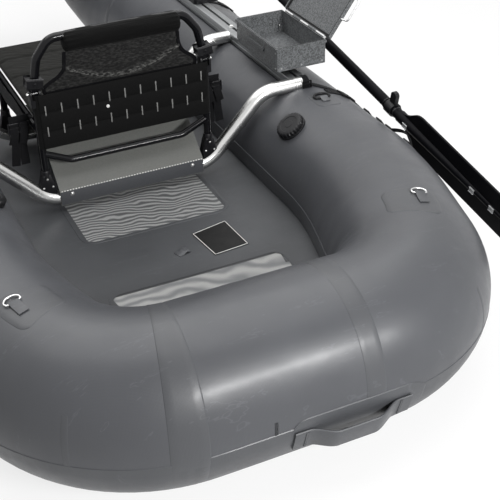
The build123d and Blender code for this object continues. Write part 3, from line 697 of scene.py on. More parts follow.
def skin_strap(kit, places, width, thickness, side=1, steps=8):
    """Webbing that lies on the tubes through (s, angle) places."""
    spots = flowing(places, steps)
    path = [skin(s, a, thickness / 2 + 0.0006, side) for s, a in spots]
    lifted = [skin(s, a, 0.02, side) for s, a in spots]
    kit.strap(path, [(b - a).normalized() for a, b in zip(path, lifted)], width, thickness)


def padded(source, voxel, cap, pressure=4.0):
    """Swell a closed mesh like a stuffed pad: cloth with pressure, each point moved at most by the cap."""
    scene = bpy.context.scene
    remesh = source.modifiers.new("remesh", "REMESH")
    remesh.mode = "VOXEL"
    remesh.voxel_size = voxel
    settle(source)
    before = [v.co.copy() for v in source.data.vertices]
    cloth = source.modifiers.new("cloth", "CLOTH")
    cloth.settings.quality = 4
    cloth.settings.use_pressure = True
    cloth.settings.uniform_pressure_force = pressure
    cloth.settings.effector_weights.gravity = 0.0
    for number in range(1, 21):
        scene.frame_set(number)
    settle(source)
    scene.frame_set(1)
    for vert, start in zip(source.data.vertices, before):
        move = vert.co - start
        if move.length > cap:
            vert.co = start + move.normalized() * cap
    divide = source.modifiers.new("divide", "SUBSURF")
    divide.levels = 1
    settle(source)
    source.data.shade_smooth()


def settle(obj):
    """Turn the object's modifiers into its mesh."""
    graph = bpy.context.evaluated_depsgraph_get()
    mesh = bpy.data.meshes.new_from_object(obj.evaluated_get(graph))
    old = obj.data
    obj.modifiers.clear()
    obj.data = mesh
    if not mesh.materials:
        mesh.materials.append(old.materials[0])
    bpy.data.meshes.remove(old)


# Tubes and what is glued on them


def build_tubes():
    around = span(0, 360, 2.25)[:-1]
    for label, side in SIDES:
        kit = Kit()
        stations = span(SEAM_X, HALF.length - SEAM_X, 0.010)
        kit.rows([[skin(s, a, 0.0, side) for a in around] for s in stations], caps=False)
        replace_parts(kit.finish(f"{label}_tube_skin", "tube"), f"{label}_tube")
    kit = Kit()
    kit.rows([[skin(s, a) for a in around] for s in span(-SEAM_X, SEAM_X, 0.010)], caps=False)
    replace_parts(kit.finish("stern_tube_skin", "tube"), "stern_tube")
    kit = Kit()
    kit.rows([[end_skin(x, a, 0.0, True) for a in around] for x in span(-SEAM_X, SEAM_X, 0.010)], caps=False)
    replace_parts(kit.finish("bow_tube_skin", "tube"), "bow_tube")


def build_seams():
    """Tapes over the welds, the weld lines of the panels and the wear strip round the underside."""
    kit = Kit()
    bow = HALF.length - SEAM_X
    for _, side in SIDES:
        start, end, lift = (0.118, 0.164, 0.0006) if side > 0 else (0.206, 0.254, 0.0011)
        tape(kit, start, end, side, lift)
        tape(kit, bow - 0.024, bow + 0.024, side, 0.0012)
        tape(kit, 0.366, 0.376, side, 0.0005, (-12, 30))
        tape(kit, 0.078, 0.086, -1, 0.0006, (-30, 4))
        for y in (0.18, 0.80):
            s = HALF.at_y(y)
            tape(kit, s - 0.012, s + 0.012, side, 0.0007)
    kit.finish("seam_tapes", "patch")
    kit = Kit()
    for _, side in SIDES:
        rows = []
        angles = span(-64, -6, 4)
        for s in span(0.0, bow, 0.02):
            lifts = [-0.0004] + [0.0013] * (len(angles) - 2) + [-0.0004]
            close = [angles[0], angles[0] + 0.5] + angles[2:-2] + [angles[-1] - 0.5, angles[-1]]
            rows.append([skin(s, a, h, side) for a, h in zip(close, lifts)])
        kit.rows(rows, ring=False)
    kit.finish("wear_strip", "wear")


def build_patches():
    """Reinforcing patches under the rings and straps, and under the stern handle."""
    kit = Kit()
    for _, side in SIDES:
        patch(kit, 0.520, 89, 0.052, 0.064, side, 0.0009)
        patch(kit, HALF.at_y(-0.436), 86, 0.042, 0.036, side)
        patch(kit, HALF.at_y(-0.640), 36, 0.045, 0.034, side)
        for y in (-0.385, 0.440):
            patch(kit, HALF.at_y(y), 24, 0.034, 0.042, side)
    patch(kit, 0.092, -16, 0.142, 0.050, 1, 0.0016, 0.034)
    kit.finish("tube_patches", "patch")


def build_valves():
    """Screw valves on the inboard shoulders: a thin flange and a tall ribbed cap with a sunk centre."""
    kit = Kit()
    for _, side in SIDES:
        a = math.radians(127)
        axis = Vector((math.cos(a) * side, 0, math.sin(a)))
        at = Vector((SIDE_X * side, -0.482, TUBE_Z)) + axis * (TUBE_R + 0.0006)
        kit.turned(at, axis, [(-0.003, 0.0405), (0.0016, 0.0405), (0.0026, 0.039), (0.0026, 0.020)], 48)
        cap = [(0.0026, 0.0380), (0.0040, 0.0385), (0.0128, 0.0375), (0.0146, 0.0355), (0.0152, 0.0330)]
        cap += [(0.0152, 0.0250), (0.0142, 0.0240), (0.0142, 0.0120), (0.0150, 0.0110), (0.0150, 0.003)]
        kit.turned(at, axis, cap, 96, 0.030)
    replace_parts(kit.finish("valve_caps", "moulded"), "air_valves")


def ring_shape(at, out, run, width, depth):
    """A D-shaped closed path: a straight bar along out, bowed towards run."""
    half = width / 2
    bow = [(math.cos(math.radians(t)), math.sin(math.radians(t))) for t in span(0, 180, 15)]
    places = [(-half * 0.6, 0), (0, 0), (half * 0.6, 0), (half * 0.92, depth * 0.06)]
    places += [(half * c, depth * (0.35 + 0.65 * d)) for c, d in bow]
    places.append((-half * 0.92, depth * 0.06))
    return [Vector(at) + Vector(out) * u + Vector(run) * v for u, v in places]


def build_rings():
    """Steel rings on the stern quarters and ends, each held by a webbing tab on its patch."""
    steel, tabs = Kit(), Kit()
    for _, side in SIDES:
        turn = math.radians(14.7)
        lean = math.asin(28 / 185)
        flat = Vector((math.cos(turn) * side, -math.sin(turn), 0))
        out = flat * math.cos(lean) - UP * math.sin(lean)
        up = flat * math.sin(lean) + UP * math.cos(lean)
        run = up.cross(out) * side
        at = Vector((0.473 * side, -0.991, TUBE_Z + TUBE_R * math.cos(lean))) + up * 0.0032
        steel.wire(ring_shape(at, out, run, 0.036, 0.022), 0.0021, up, True)
        places = [(-0.040, -0.0016), (-0.012, -0.0012), (-0.004, 0.0016), (0, 0.0030)]
        places += [(0.0035, 0.0010), (0.0030, -0.0018)]
        path = [at + run * v + up * w for v, w in places]
        tabs.strap(path, [up, up, up, up, run, run - up], 0.024, 0.0018)
    for bow, x in ((False, 0.077), (True, 0.0)):
        bar = end_skin(x, -38, 0.0023, bow)
        out = (end_skin(x, -38, 0.02, bow) - bar).normalized()
        steel.wire(ring_shape(bar, X, -UP, 0.032, 0.024), 0.0022, Y, True)
        angles = (-26, -34, -37, -38.5)
        path = [end_skin(x, a, h, bow) for a, h in zip(angles, (0.0018, 0.0020, 0.0036, 0.0052))]
        path += [end_skin(x, a, h, bow) for a, h in ((-40, 0.0040), (-41, 0.0012))]
        tabs.strap(path, [out, out, out, out, -UP, -UP], 0.022, 0.0018)
    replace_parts(steel.finish("steel_rings", "steel"), "d_rings")
    tabs.finish("ring_tabs", "patch")


def build_handle(name, bow, middle):
    """Wide strap handle that bows off the end tube, with its ends glued flat."""
    half, lift = 0.104, 0.024
    kit = Kit()
    path, normals = [], []
    for x in span(middle - half - 0.030, middle + half + 0.030, 0.006):
        rise = smooth((half - abs(x - middle)) / 0.062)
        path.append(end_skin(x, -18, 0.0022 + lift * rise, bow))
        normals.append(end_skin(x, -18, 0.1, bow) - end_skin(x, -18, 0.0, bow))
    kit.strap(path, [n.normalized() for n in normals], 0.056, 0.0055)
    for x in (middle - half - 0.004, middle + half + 0.004):
        at = end_skin(x, -18, 0.0052, bow)
        normal = normals[0].normalized()
        kit.block(at, (0.004, 0.050, 0.0012), (X, X.cross(normal), normal), 0.0005)
    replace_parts(kit.finish(name + "_strap", "handle"), name)


def build_tube_straps():
    """Straps that tie the rails down, the keeper straps and the shoulder straps, with their buckles."""
    straps, buckles, rings, tabs = Kit(), Kit(), Kit(), Kit()
    for _, side in SIDES:
        for y in (-0.385, 0.440):
            s = HALF.at_y(y)
            skin_strap(straps, [(s, 20), (s, 35), (s, 50), (s, 64), (s, 76)], 0.028, 0.0022, side)
            at = skin(s, 58, 0.0040, side)
            normal = skin(s, 58, 0.1, side) - skin(s, 58, 0.0, side)
            buckles.buckle(at, normal.cross(Y), normal, 0.029)
            tail = [(s, 60), (s + 0.004, 52), (s + 0.010, 44)]
            skin_strap(straps, tail, 0.026, 0.0058, side)
        ring_at = Vector(((SIDE_X + 0.010) * side, -0.432, TUBE_Z + TUBE_R + 0.0032))
        rings.wire(ring_shape(ring_at, X, Y, 0.044, 0.026), 0.0036, UP, True)
        places = ((-0.022, -0.0014), (-0.010, 0.0008), (0, 0.0046), (0.005, 0.001))
        tab = [ring_at + Vector((0, v, w)) for v, w in places]
        tabs.strap(tab, [UP, UP, UP, Y], 0.022, 0.0020)
        keeper = [(HALF.at_y(y), 34) for y in (-0.640, -0.560, -0.480, -0.402)]
        skin_strap(straps, keeper, 0.024, 0.0026, side)
        start = HALF.at_y(-0.402)
        climb = ((0.0, 34), (0.012, 40), (0.024, 52), (0.040, 68), (0.075, 84))
        shoulder = [(start + u, a) for u, a in climb]
        skin_strap(straps, shoulder, 0.022, 0.0024, side)
        s = HALF.at_y(-0.640)
        loop, arch = 0.085, []
        for u in span(0, loop, 0.006):
            arch.append((s + u, 31 + 60 * u, 0.003 + 0.020 * math.sin(math.pi * u / loop)))
        path = [skin(*place, side) for place in arch]
        normals = [(skin(u, a, 0.1, side) - skin(u, a, 0.0, side)).normalized() for u, a, _ in arch]
        straps.strap(path, normals, 0.018, 0.0022)
        for y, angle in ((-0.625, 32), (-0.545, 34), (-0.500, 35), (-0.430, 34)):
            s = HALF.at_y(y)
            normal = skin(s, angle, 0.1, side) - skin(s, angle, 0.0, side)
            buckles.buckle(skin(s, angle, 0.0046, side), Y, normal, 0.025)
    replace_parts(straps.finish("tube_webbing", "webbing"), "keeper_straps")
    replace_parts(rings.finish("frame_rings", "moulded"), "frame_straps")
    buckles.finish("tube_buckles", "moulded")
    tabs.finish("frame_ring_tabs", "patch")


# Floor


def inner_edge():
    """Where the floor meets the tubes: (y, half width) from the stern to its front edge."""
    found = []
    for s in span(0.0, HALF.at_y(FLOOR_FRONT + 0.02), 0.012):
        p = skin(s, 185.2)
        found.append((p.y, p.x))
    return found


def floor_height(x, y):
    """The floor sags a little and lies in soft waves."""
    sag = FLOOR_SAG * (1 - min(abs(x) / 0.33, 1.0) ** 2)
    wave = 0.0011 * noise.noise(Vector((x * 6, y * 4, 3.1)))
    return FLOOR_Z - sag + wave


def build_floor():
    edge = inner_edge()
    stations = span(edge[0][0] + 0.004, FLOOR_FRONT, 0.012)
    rows, area = [], 0.0
    for y in stations:
        half = max(x for (y0, x) in edge if y0 <= y + 0.012)
        area += 2 * half * (stations[1] - stations[0])
        rows.append([Vector((half * k / 30, y, floor_height(half * k / 30, y))) for k in range(-30, 31)])
    kit = Kit()
    kit.rows(rows, ring=False)
    cells = kit.shapes.faces[:]
    inside = [f for f in cells if any(in_window(f.calc_center_median(), *m[1:], -0.004) for m in MESHES)]
    bmesh.ops.delete(kit.shapes, geom=inside, context="FACES")
    area -= sum(2 * h * (b - a) for _, h, a, b in MESHES)
    cloth = kit.finish("floor_sheet", "floor")
    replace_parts(cloth, "cargo_floor")
    for (name, half, start, end), look in zip(MESHES, ("mesh", "mesh_stern")):
        build_mesh_window(name, half, start, end, look)


def in_window(p, half, start, end, margin):
    return abs(p.x) < half + margin and start - margin < p.y < end + margin


def window_edge(half, start, end, inset):
    """The rounded outline of a mesh window, drawn in by the inset."""
    corner = MESH_CORNER
    middle, reach = (start + end) / 2, (end - start) / 2
    places = []
    for sx, sy, first in ((1, -1, -90), (1, 1, 0), (-1, 1, 90), (-1, -1, 180)):
        centre = (sx * (half - corner), middle + sy * (reach - corner))
        for t in span(first, first + 90, 15):
            a = math.radians(t)
            radius = corner - inset
            places.append((centre[0] + radius * math.cos(a), centre[1] + radius * math.sin(a)))
    dense = []
    for (x0, y0), (x1, y1) in zip(places, places[1:] + places[:1]):
        steps = span(0.0, 1.0, 0.012 / max(math.hypot(x1 - x0, y1 - y0), 0.012))[:-1]
        dense.extend((x0 + (x1 - x0) * t, y0 + (y1 - y0) * t) for t in steps)
    return dense


def build_mesh_window(name, half, start, end, look):
    """Open mesh sewn in the floor, with a welded border."""
    kit = Kit()
    rows = []
    for y in span(start - 0.006, end + 0.006, 0.006):
        xs = span(-half - 0.006, half + 0.006, 0.010)
        rows.append([Vector((x, y, floor_height(x, y) - 0.0008)) for x in xs])
    kit.rows(rows, ring=False)
    cloth = kit.finish(name + "_cloth", look)
    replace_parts(cloth, name)
    rows = []
    profile = ((0.0, 0.0002), (0.0006, 0.0010), (-0.0040, 0.0011), (-0.0080, 0.0009), (-0.0090, -0.0004))
    for inset, lift in profile:
        ring = window_edge(half, start, end, inset)
        rows.append([Vector((x, y, floor_height(x, y) + lift)) for x, y in ring])
    border = Kit()
    border.rows(rows, caps=False)
    border.finish(name + "_border", "floor")


def build_floor_details():
    """Bare plate with a thin border, a small pull tab and the welded edge along the tubes."""
    places = ((0.058, -0.603), (0.160, -0.581), (0.167, -0.713), (0.071, -0.7225))
    corners = [Vector((x, y, 0)) for x, y in places]
    plate, border = Kit(), Kit()
    rows = []
    for t in span(0, 1, 0.1):
        left, right = corners[0].lerp(corners[3], t), corners[1].lerp(corners[2], t)
        rows.append([left.lerp(right, u) for u in span(0, 1, 0.1)])
    lifted = [[Vector((p.x, p.y, floor_height(p.x, p.y) + 0.0012)) for p in row] for row in rows]
    plate.rows(lifted, ring=False)
    centre = sum(corners, Vector()) / 4
    inner = [centre + (p - centre) * 0.95 for p in corners]
    path = [a.lerp(b, t) for a, b in zip(inner, inner[1:] + inner[:1]) for t in span(0, 1, 0.1)[:-1]]
    path = [Vector((p.x, p.y, floor_height(p.x, p.y) + 0.0015)) for p in path]
    border.strap(path, [UP] * len(path), 0.0016, 0.0005, True)
    plate.finish("floor_plate", "plate")
    border.finish("floor_plate_border", "border")
    tab = Kit()
    path = [(-0.012, -0.678, 0.0008), (0.0, -0.674, 0.0012), (0.010, -0.671, 0.0050), (0.022, -0.668, 0.0012)]
    path = [Vector((x, y, floor_height(x, y) + z)) for x, y, z in flowing(path, 5)]
    tab.strap(path, [UP] * len(path), 0.024, 0.0016)
    tab.finish("floor_pull_tab", "patch")
    weld = Kit()
    for _, side in SIDES:
        rows = []
        for s in span(0.0, HALF.at_y(FLOOR_FRONT), 0.02):
            steps = ((171, -0.0004), (171.6, 0.0014), (178, 0.0014), (184.4, 0.0014))
            rows.append([skin(s, a, h, side) for a, h in steps])
        weld.rows(rows, ring=False)
    weld.finish("floor_weld", "patch")
    hem = Kit()
    path = [Vector((x, FLOOR_FRONT, floor_height(x, FLOOR_FRONT))) for x in span(-0.330, 0.330, 0.02)]
    hem.wire(path, 0.0045, UP)
    hem.finish("floor_front_hem", "patch")


# Seat


def build_cushion():
    """Stuffed seat pad: swollen by cloth pressure, with a bound edge and sewn channels."""
    kit = Kit()
    kit.block((0, (SEAT_Y + 0.026 + 0.214) / 2, 0.4200), (0.464, 0.495, 0.017), edge=0.006, segments=3)
    pad = kit.finish("seat_pad", "cushion")
    padded(pad, 0.006, 0.007)
    for vert in pad.data.vertices:
        p = vert.co
        top = smooth((p.z - 0.420) / 0.006)
        groove = sum(math.exp(-(((p.y - y) / 0.006) ** 2)) for y in (-0.170, -0.042, 0.086))
        slant = p.x * 0.8 + p.y
        fold = noise.noise(Vector((slant * 60, (p.y - p.x) * 9, 1.7)))
        p.z -= top * (0.0040 * min(groove, 1.0) + 0.0026 * abs(fold))
        p.z = max(p.z, 0.4060)
    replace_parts(pad, "seat_cushion")
    corners = [(-1, -1), (1, -1), (1, 1), (-1, 1)]
    path = []
    for sx, sy in corners:
        start = math.degrees(math.atan2(sy, sx)) - 45
        for t in span(start, start + 90, 15):
            a = math.radians(t)
            x = sx * 0.212 + 0.026 * math.cos(a)
            y = -0.0425 + sy * 0.2275 + 0.026 * math.sin(a)
            path.append(Vector((x, y, 0.4195)))
    piping = Kit()
    piping.wire(path, 0.0036, UP, True, 8)
    piping.finish("seat_pad_binding", "binding")


def build_panel():
    """Webbing panel: three wide bands laced round the rear posts, held by rows of tacks."""
    kit = Kit()
    rows = []
    for z in span(PANEL_Z[0], PANEL_Z[1] - 0.001, 0.004):
        share = (z - PANEL_Z[0]) / (PANEL_Z[1] - PANEL_Z[0])
        row = []
        for x in span(-0.222, 0.222, 0.006):
            belly = 0.0022 * math.cos(x / 0.222 * math.pi / 2) * math.sin(share * math.pi)
            crease = 0.0010 * noise.noise(Vector((x * 14, z * 40, 0.4)))
            row.append(Vector((x, SEAT_PANEL_Y + 0.0030 + belly + crease, z)))
        port_wrap = [wrapped(-a, z) for a in span(100, 10, 18)]
        starboard_wrap = [wrapped(a, z) for a in span(10, 100, 18)]
        rows.append(port_wrap + row + starboard_wrap)
    kit.rows(rows, ring=False)
    cloth = kit.finish("panel_cloth", "panel")
    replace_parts(cloth, "seat_panel")
    bands = Kit()
    for low, high in ((0.3525, 0.397), (0.4015, 0.449), (0.4535, 0.4985)):
        middle = (low + high) / 2
        path = []
        for x in span(-0.224, 0.224, 0.008):
            path.append(Vector((x, SEAT_PANEL_Y + 0.0012 + 0.0018 * math.cos(x * 7.07), middle)))
        bands.strap(path, [-Y] * len(path), high - low, 0.0024)
    bands.finish("panel_bands", "panel")
    tacks = Kit()
    for z, lean in ((0.4600, 0.02), (0.4010, 0.012)):
        for i in range(-5, 6):
            x = i * 0.0420
            y = SEAT_PANEL_Y + 0.0018 * math.cos(x * 7.07) - 0.0002
            tacks.block((x, y, z + lean * x), (0.0034, 0.0014, 0.026), edge=0.0005)
    tacks.finish("panel_tacks", "thread")
    button = Kit()
    button.turned((-0.049, SEAT_PANEL_Y, 0.4343), -Y, [(0, 0.0045), (0.0014, 0.0042), (0.0022, 0.0022)])
    button.finish("panel_stud", "border")


def wrapped(angle, z):
    """A point of the panel where it goes round a post, by the angle from straight aft."""
    side = 1 if angle > 0 else -1
    a = math.radians(abs(angle))
    reach = 0.0125
    return Vector((side * (POST_X - 0.004 + reach * math.sin(a)), SEAT_Y - (reach + 0.003) * math.cos(a), z))


def build_side_straps():
    """Webbing that hangs in a V beside the cushion, each leg with its buckle, tied to the pad's edge."""
    straps, buckles = Kit(), Kit()
    for _, side in SIDES:
        for top, foot in ((0.254, 0.2625), (0.280, 0.2885)):
            sway = 0.004 if top < 0.26 else -0.003
            places = [(top, 0.0, 0.419), ((top + foot) / 2 + sway, sway, 0.352), (foot, 0.0, 0.287)]
            path = flowing([(x * side, STRAP_Y + y, z) for x, y, z in places])
            straps.strap(path, [-Y] * len(path), 0.0225, 0.0020)
            at = path[3] + Vector((0, -0.0026, 0))
            buckles.buckle(at, path[4] - path[2], -Y, 0.023)
            places = ((top, 0, 0.402), (top + 0.004, -0.006, 0.372), (top + 0.010, -0.004, 0.350))
            tail = flowing([(x * side, STRAP_Y - 0.003 + y, z) for x, y, z in places], 4)
            straps.strap(tail, [-Y] * len(tail), 0.0215, 0.0016)
        tie = [Vector((x * side, STRAP_Y, 0.417)) for x in span(0.236, 0.291, 0.01)]
        straps.strap(tie, [-Y] * len(tie), 0.0180, 0.0022)
        hem = []
        for y in span(-0.262, 0.180, 0.02):
            hem.append(Vector((side * 0.2455, y, 0.392 + 0.004 * math.sin(y * 31))))
        straps.strap(hem, [X * side] * len(hem), 0.046, 0.0016)
    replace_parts(straps.finish("seat_webbing", "webbing"), "side_straps")
    buckles.finish("seat_buckles", "moulded")


def build_bolster():
    """Stuffed roll round the hoop's top bar, gathered at its ends."""
    kit = Kit()
    steps = [(-0.153, 0.016), (-0.151, 0.022), (-0.146, 0.0255)]
    steps += [(u, 0.0262) for u in span(-0.135, 0.135, 0.02)]
    steps += [(0.146, 0.0255), (0.151, 0.022), (0.153, 0.016)]
    kit.turned((0.010, SEAT_Y, 0.619), X, steps, 40)
    roll = kit.finish("bolster_roll", "bolster", "seat_back")
    padded(roll, 0.0045, 0.004)
    for vert in roll.data.vertices:
        p = vert.co
        end = smooth((abs(p.x - 0.010) - 0.095) / 0.06)
        spread_from = Vector((0, p.y - SEAT_Y, p.z - 0.619))
        a = math.atan2(spread_from.z, spread_from.y)
        gather = 0.0010 * end * math.sin(a * 14) + 0.0009 * noise.noise(Vector((p.x * 22, a * 3, 0.5)))
        seam = -0.0020 * math.exp(-(((a + 1.9) / 0.07) ** 2))
        p += spread_from.normalized() * (gather + seam)
    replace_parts(roll, "back_bolster")


def net_outline(z):
    """The net's left and right edge at a height."""
    stops = ((0.488, -0.198, 0.198), (0.500, -0.203, 0.203), (0.510, -0.200, 0.202), (0.518, -0.188, 0.194))
    stops += ((0.527, -0.169, 0.180), (0.536, -0.156, 0.170), (0.546, -0.149, 0.164), (0.560, -0.144, 0.160))
    stops += ((0.592, -0.141, 0.158),)
    for (z0, l0, r0), (z1, l1, r1) in zip(stops, stops[1:]):
        if z <= z1:
            t = max((z - z0) / (z1 - z0), 0.0)
            return l0 + (l1 - l0) * t, r0 + (r1 - r0) * t
    return stops[-1][1:]


def net_depth(x, z):
    """The slack net's folds: one long sagging crease and small crumples."""
    sag = 0.5075 + 1.9 * (x - 0.005) ** 2
    crease = math.exp(-(((z - sag) / 0.007) ** 2)) - 0.6 * math.exp(-(((z - sag - 0.014) / 0.008) ** 2))
    small = noise.noise(Vector((x * 30, z * 44, 2.0))) + 0.5 * noise.noise(Vector((x * 80, z * 90, 5.0)))
    return SEAT_Y - 0.0040 * crease - 0.0018 * small


def build_net():
    """Mesh web under the bolster, slack and crumpled, with bound edges."""
    rows = []
    for z in span(0.4895, 0.5920, 0.0025):
        left, right = net_outline(z)
        across = [left + (right - left) * k / 110 for k in range(111)]
        rows.append([Vector((x, net_depth(x, z), z)) for x in across])
    kit = Kit()
    kit.rows(rows, ring=False)
    cloth = kit.finish("back_net_cloth", "net", "seat_back")
    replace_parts(cloth, "back_mesh")
    edges = Kit()
    for end in (0, -1):
        path = flowing([row[end] for row in rows[::4]] + [rows[-1][end]], 3)
        edges.strap(path, [-Y] * len(path), 0.010, 0.0026)
    low = [rows[0][k] + Vector((0, 0, 0.003)) for k in range(0, 111, 4)]
    edges.strap(low, [-Y] * len(low), 0.009, 0.0026)
    edges.finish("back_net_binding", "binding", "seat_back")


def build_brackets():
    """Foot castings: a tapered web that stands behind the crossbar and carries the post."""
    kit = Kit()
    outline = ((-0.0215, 0.206), (0.0215, 0.206), (0.0215, 0.236), (0.0120, 0.272), (0.0085, 0.2755))
    outline += tuple((-x, z) for x, z in reversed(outline[2:]))
    for _, side in SIDES:
        for y in BAR_Y:
            rows = []
            for depth, inset in ((-0.0125, 0.94), (-0.0110, 1.0), (0.0110, 1.0), (0.0125, 0.94)):
                row = []
                for x, z in outline:
                    row.append(Vector((side * POST_X + x * inset, y + depth, 0.240 + (z - 0.240) * inset)))
                rows.append(row)
            kit.rows(rows)
            socket = [(0, 0.0135), (0.022, 0.0135), (0.0245, 0.0120), (0.0245, 0.0100)]
            kit.turned((side * POST_X, y, 0.262), UP, socket, 28)
    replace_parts(kit.finish("bracket_castings", "black_cast"), "seat_brackets")


def build_seat_hardware():
    """Bolts of the brackets and the pan, dark flange bands of painted shade, a row of bright studs painted as
    the highlight along its folds, and the hoop's collars.
    """
    bolts, fold_highlights, collars, strips = Kit(), Kit(), Kit(), Kit()
    for _, side in SIDES:
        for y, facing in ((BAR_Y[0] - 0.0125, -1), (BAR_Y[1] + 0.0125, 1)):
            for dx, z in ((0.0, 0.2640), (-0.0125, 0.2400), (0.0125, 0.2400)):
                bolts.bolt((side * POST_X + dx, y, z), Y * facing, 0.0030, 0.0026)
        for y, facing in ((-0.3470, -1), (0.1120, 1)):
            bolts.bolt((side * 0.170, y, 0.2120), Y * facing, 0.0055, 0.0035)
        bolts.bolt((side * 0.2445, SEAT_Y, 0.500), X * side, 0.0050, 0.0040)
        foot = Vector((side * 0.2263, SEAT_Y, 0.5290))
        lean = Vector((-side * 0.138, 0, 0.990)).normalized()
        collars.block(foot, (0.034, 0.031, 0.020), (lean.cross(Y), Y, lean), 0.004, 3)
        collars.bolt(foot + Vector((0, -0.0155, 0)), -Y, 0.0050, 0.0035)
    for y, facing in ((-0.3471, -1), (0.1121, 1)):
        # Painted highlight: a row of small bright studs along the fold stands in for the fold edge's
        # highlight.
        for x in span(-0.197, 0.197, 0.0078):
            fold_highlights.block((x, y, 0.2242), (0.0040, 0.0012, 0.0026), edge=0.0003, segments=1)
        # Painted shade: dark strips over the flange faces, which are the same sheet as the pan.
        strips.block((0, y - 0.0002 * facing, 0.2035), (0.403, 0.0012, 0.0385), edge=0.0004)
    bolts.finish("seat_bolts", "bolt")
    fold_highlights.finish("pan_fold_highlight_studs", "border")
    strips.finish("pan_flange_shade_strips", "pan_flange_shade")
    collars.finish("hoop_collars", "black_cast", "seat_back")


# Frame, box and oars


def build_frame_hardware():
    """Bar end grooves and plugs, rail caps and the bolts in the rails' slots."""
    grooves, caps, bolts, loops = Kit(), Kit(), Kit(), Kit()
    for _, side in SIDES:
        for x in (0.4925, 0.4985, 0.5045, 0.5105):
            low, high = BAR_R - 0.001, BAR_R + 0.0012
            profile = [(-0.0028, low), (-0.0016, high), (0.0016, high), (0.0028, low)]
            grooves.turned((x * side, BAR_Y[0], BAR_Z), X, profile, 36)
        steps = ((-0.004, 0.002), (0.0005, 0.0005), (0.0025, 0.0015), (0.0040, 0.006))
        plug = [(height, BAR_R - inset) for height, inset in steps]
        caps.turned((0.530 * side, BAR_Y[0], BAR_Z), X * side, plug, 32)
        middle = (RAIL_LOW + RAIL_TOP) / 2
        caps.block((RAIL_X * side, RAIL_Y[1] + 0.0015, middle), (0.051, 0.004, 0.033), edge=0.0016)
        for y in (0.060, 0.120, 0.520):
            bolts.bolt((RAIL_X * side, y, RAIL_TOP + 0.0003), UP, 0.0085, 0.0055)
        for x in (0.492, 0.545):
            for y in (0.365, 0.425):
                bolts.bolt((x * side, y, RAIL_TOP + 0.0162), UP, 0.0065, 0.0050)
        turns = [math.radians(a) for a in span(-60, 200, 10)]
        path = []
        for a in turns:
            y = BAR_Y[0] - 0.0203 * math.cos(a)
            path.append(Vector((0.5215 * side, y, BAR_Z + 0.0203 * math.sin(a))))
        normals = [(p - Vector((0.5215 * side, BAR_Y[0], BAR_Z))).normalized() for p in path]
        loops.strap(path, normals, 0.018, 0.0020)
        loops.buckle((0.5215 * side, BAR_Y[0] - 0.0235, BAR_Z + 0.004), UP, -Y, 0.018, 0.022)
    grooves.finish("bar_end_grooves", "polished")
    caps.finish("frame_end_caps", "moulded")
    bolts.finish("rail_bolts", "bolt")
    loops.finish("bar_end_loops", "webbing")


def build_box_details():
    """Rim line, inside hook and rivets of the gear box."""
    seal, hook, rivets = Kit(), Kit(), Kit()
    x0, x1, y0, y1 = 0.4555, 0.6040, -0.2945, -0.0265
    path = []
    for a, b in (((x0, y0), (x1, y0)), ((x1, y0), (x1, y1)), ((x1, y1), (x0, y1)), ((x0, y1), (x0, y0))):
        for t in span(0.03, 0.97, 0.1):
            path.append(Vector((a[0] + (b[0] - a[0]) * t, a[1] + (b[1] - a[1]) * t, 0.4722)))
    seal.wire(path, 0.0007, UP, True, 6)
    seal.finish("box_rim_line", "rubber")
    places = ((-0.0305, 0.4310), (-0.0360, 0.4290), (-0.0365, 0.4150), (-0.0310, 0.4125))
    bend = flowing([(0.5935, y, z) for y, z in places], 4)
    hook.wire(bend, 0.0014, X)
    hook.finish("box_hook", "steel")
    for z in (0.412, 0.4565):
        for y in (-0.285, -0.036):
            rivets.bolt((0.4560, y, z), -X, 0.0028, 0.0014)
    for x in (0.470, 0.532, 0.596):
        rivets.bolt((x, -0.2940, 0.412), -Y, 0.0028, 0.0014)
    rivets.finish("box_rivets", "box_edge")


def oar_axes(side):
    """The oar's pivot, its direction to the blade, its upward and its inboard direction."""
    run = Vector((0.065 * side, -1.270, -0.271)).normalized()
    across = run.cross(UP).normalized()
    up = across.cross(run).normalized()
    inboard = across * (1 if across.x * side < 0 else -1)
    return Vector((0.680 * side, 0.395, 0.494)), run, up, inboard


def build_oar_details():
    """Rivets through the blade's spine and wrap turns on the shaft."""
    for label, side in SIDES:
        at, run, up, inboard = oar_axes(side)
        rivets = Kit()
        for t, reach in ((0.968, 0.0162), (1.265, 0.0098), (1.345, 0.0079)):
            for face in (inboard, -inboard):
                rivets.block(at + run * t + face * reach, (0.012, 0.018, 0.0024), (up, run, face), 0.0010)
        rivets.finish(f"{label}_blade_pads", "box_edge", f"{label}_oar")
        wraps = Kit()
        for t in (-0.506, -0.498, 0.078, 0.086, 0.858, 0.906):
            band = [(-0.003, 0.0146), (-0.002, 0.0162), (0.002, 0.0162), (0.003, 0.0146)]
            wraps.turned(at + run * t, run, band, 28)
        wraps.finish(f"{label}_shaft_bands", "moulded", f"{label}_oar")


# Stage, lights and camera


def show_white(look, plain, share=1.0):
    """White to the camera and to reflections, and the plain surface to everything else."""
    glow = look.add("Emission", {"Color": (1, 1, 1), "Strength": 1.0})
    ray = look.add("LightPath")
    seen = look.maths("MAXIMUM", ray.outputs["Is Camera Ray"], ray.outputs["Is Glossy Ray"])
    seen = look.maths("MAXIMUM", seen, ray.outputs["Is Transmission Ray"])
    factor = look.maths("MULTIPLY", seen, share)
    return look.add("MixShader", {0: factor, 1: plain, 2: glow.outputs[0]})


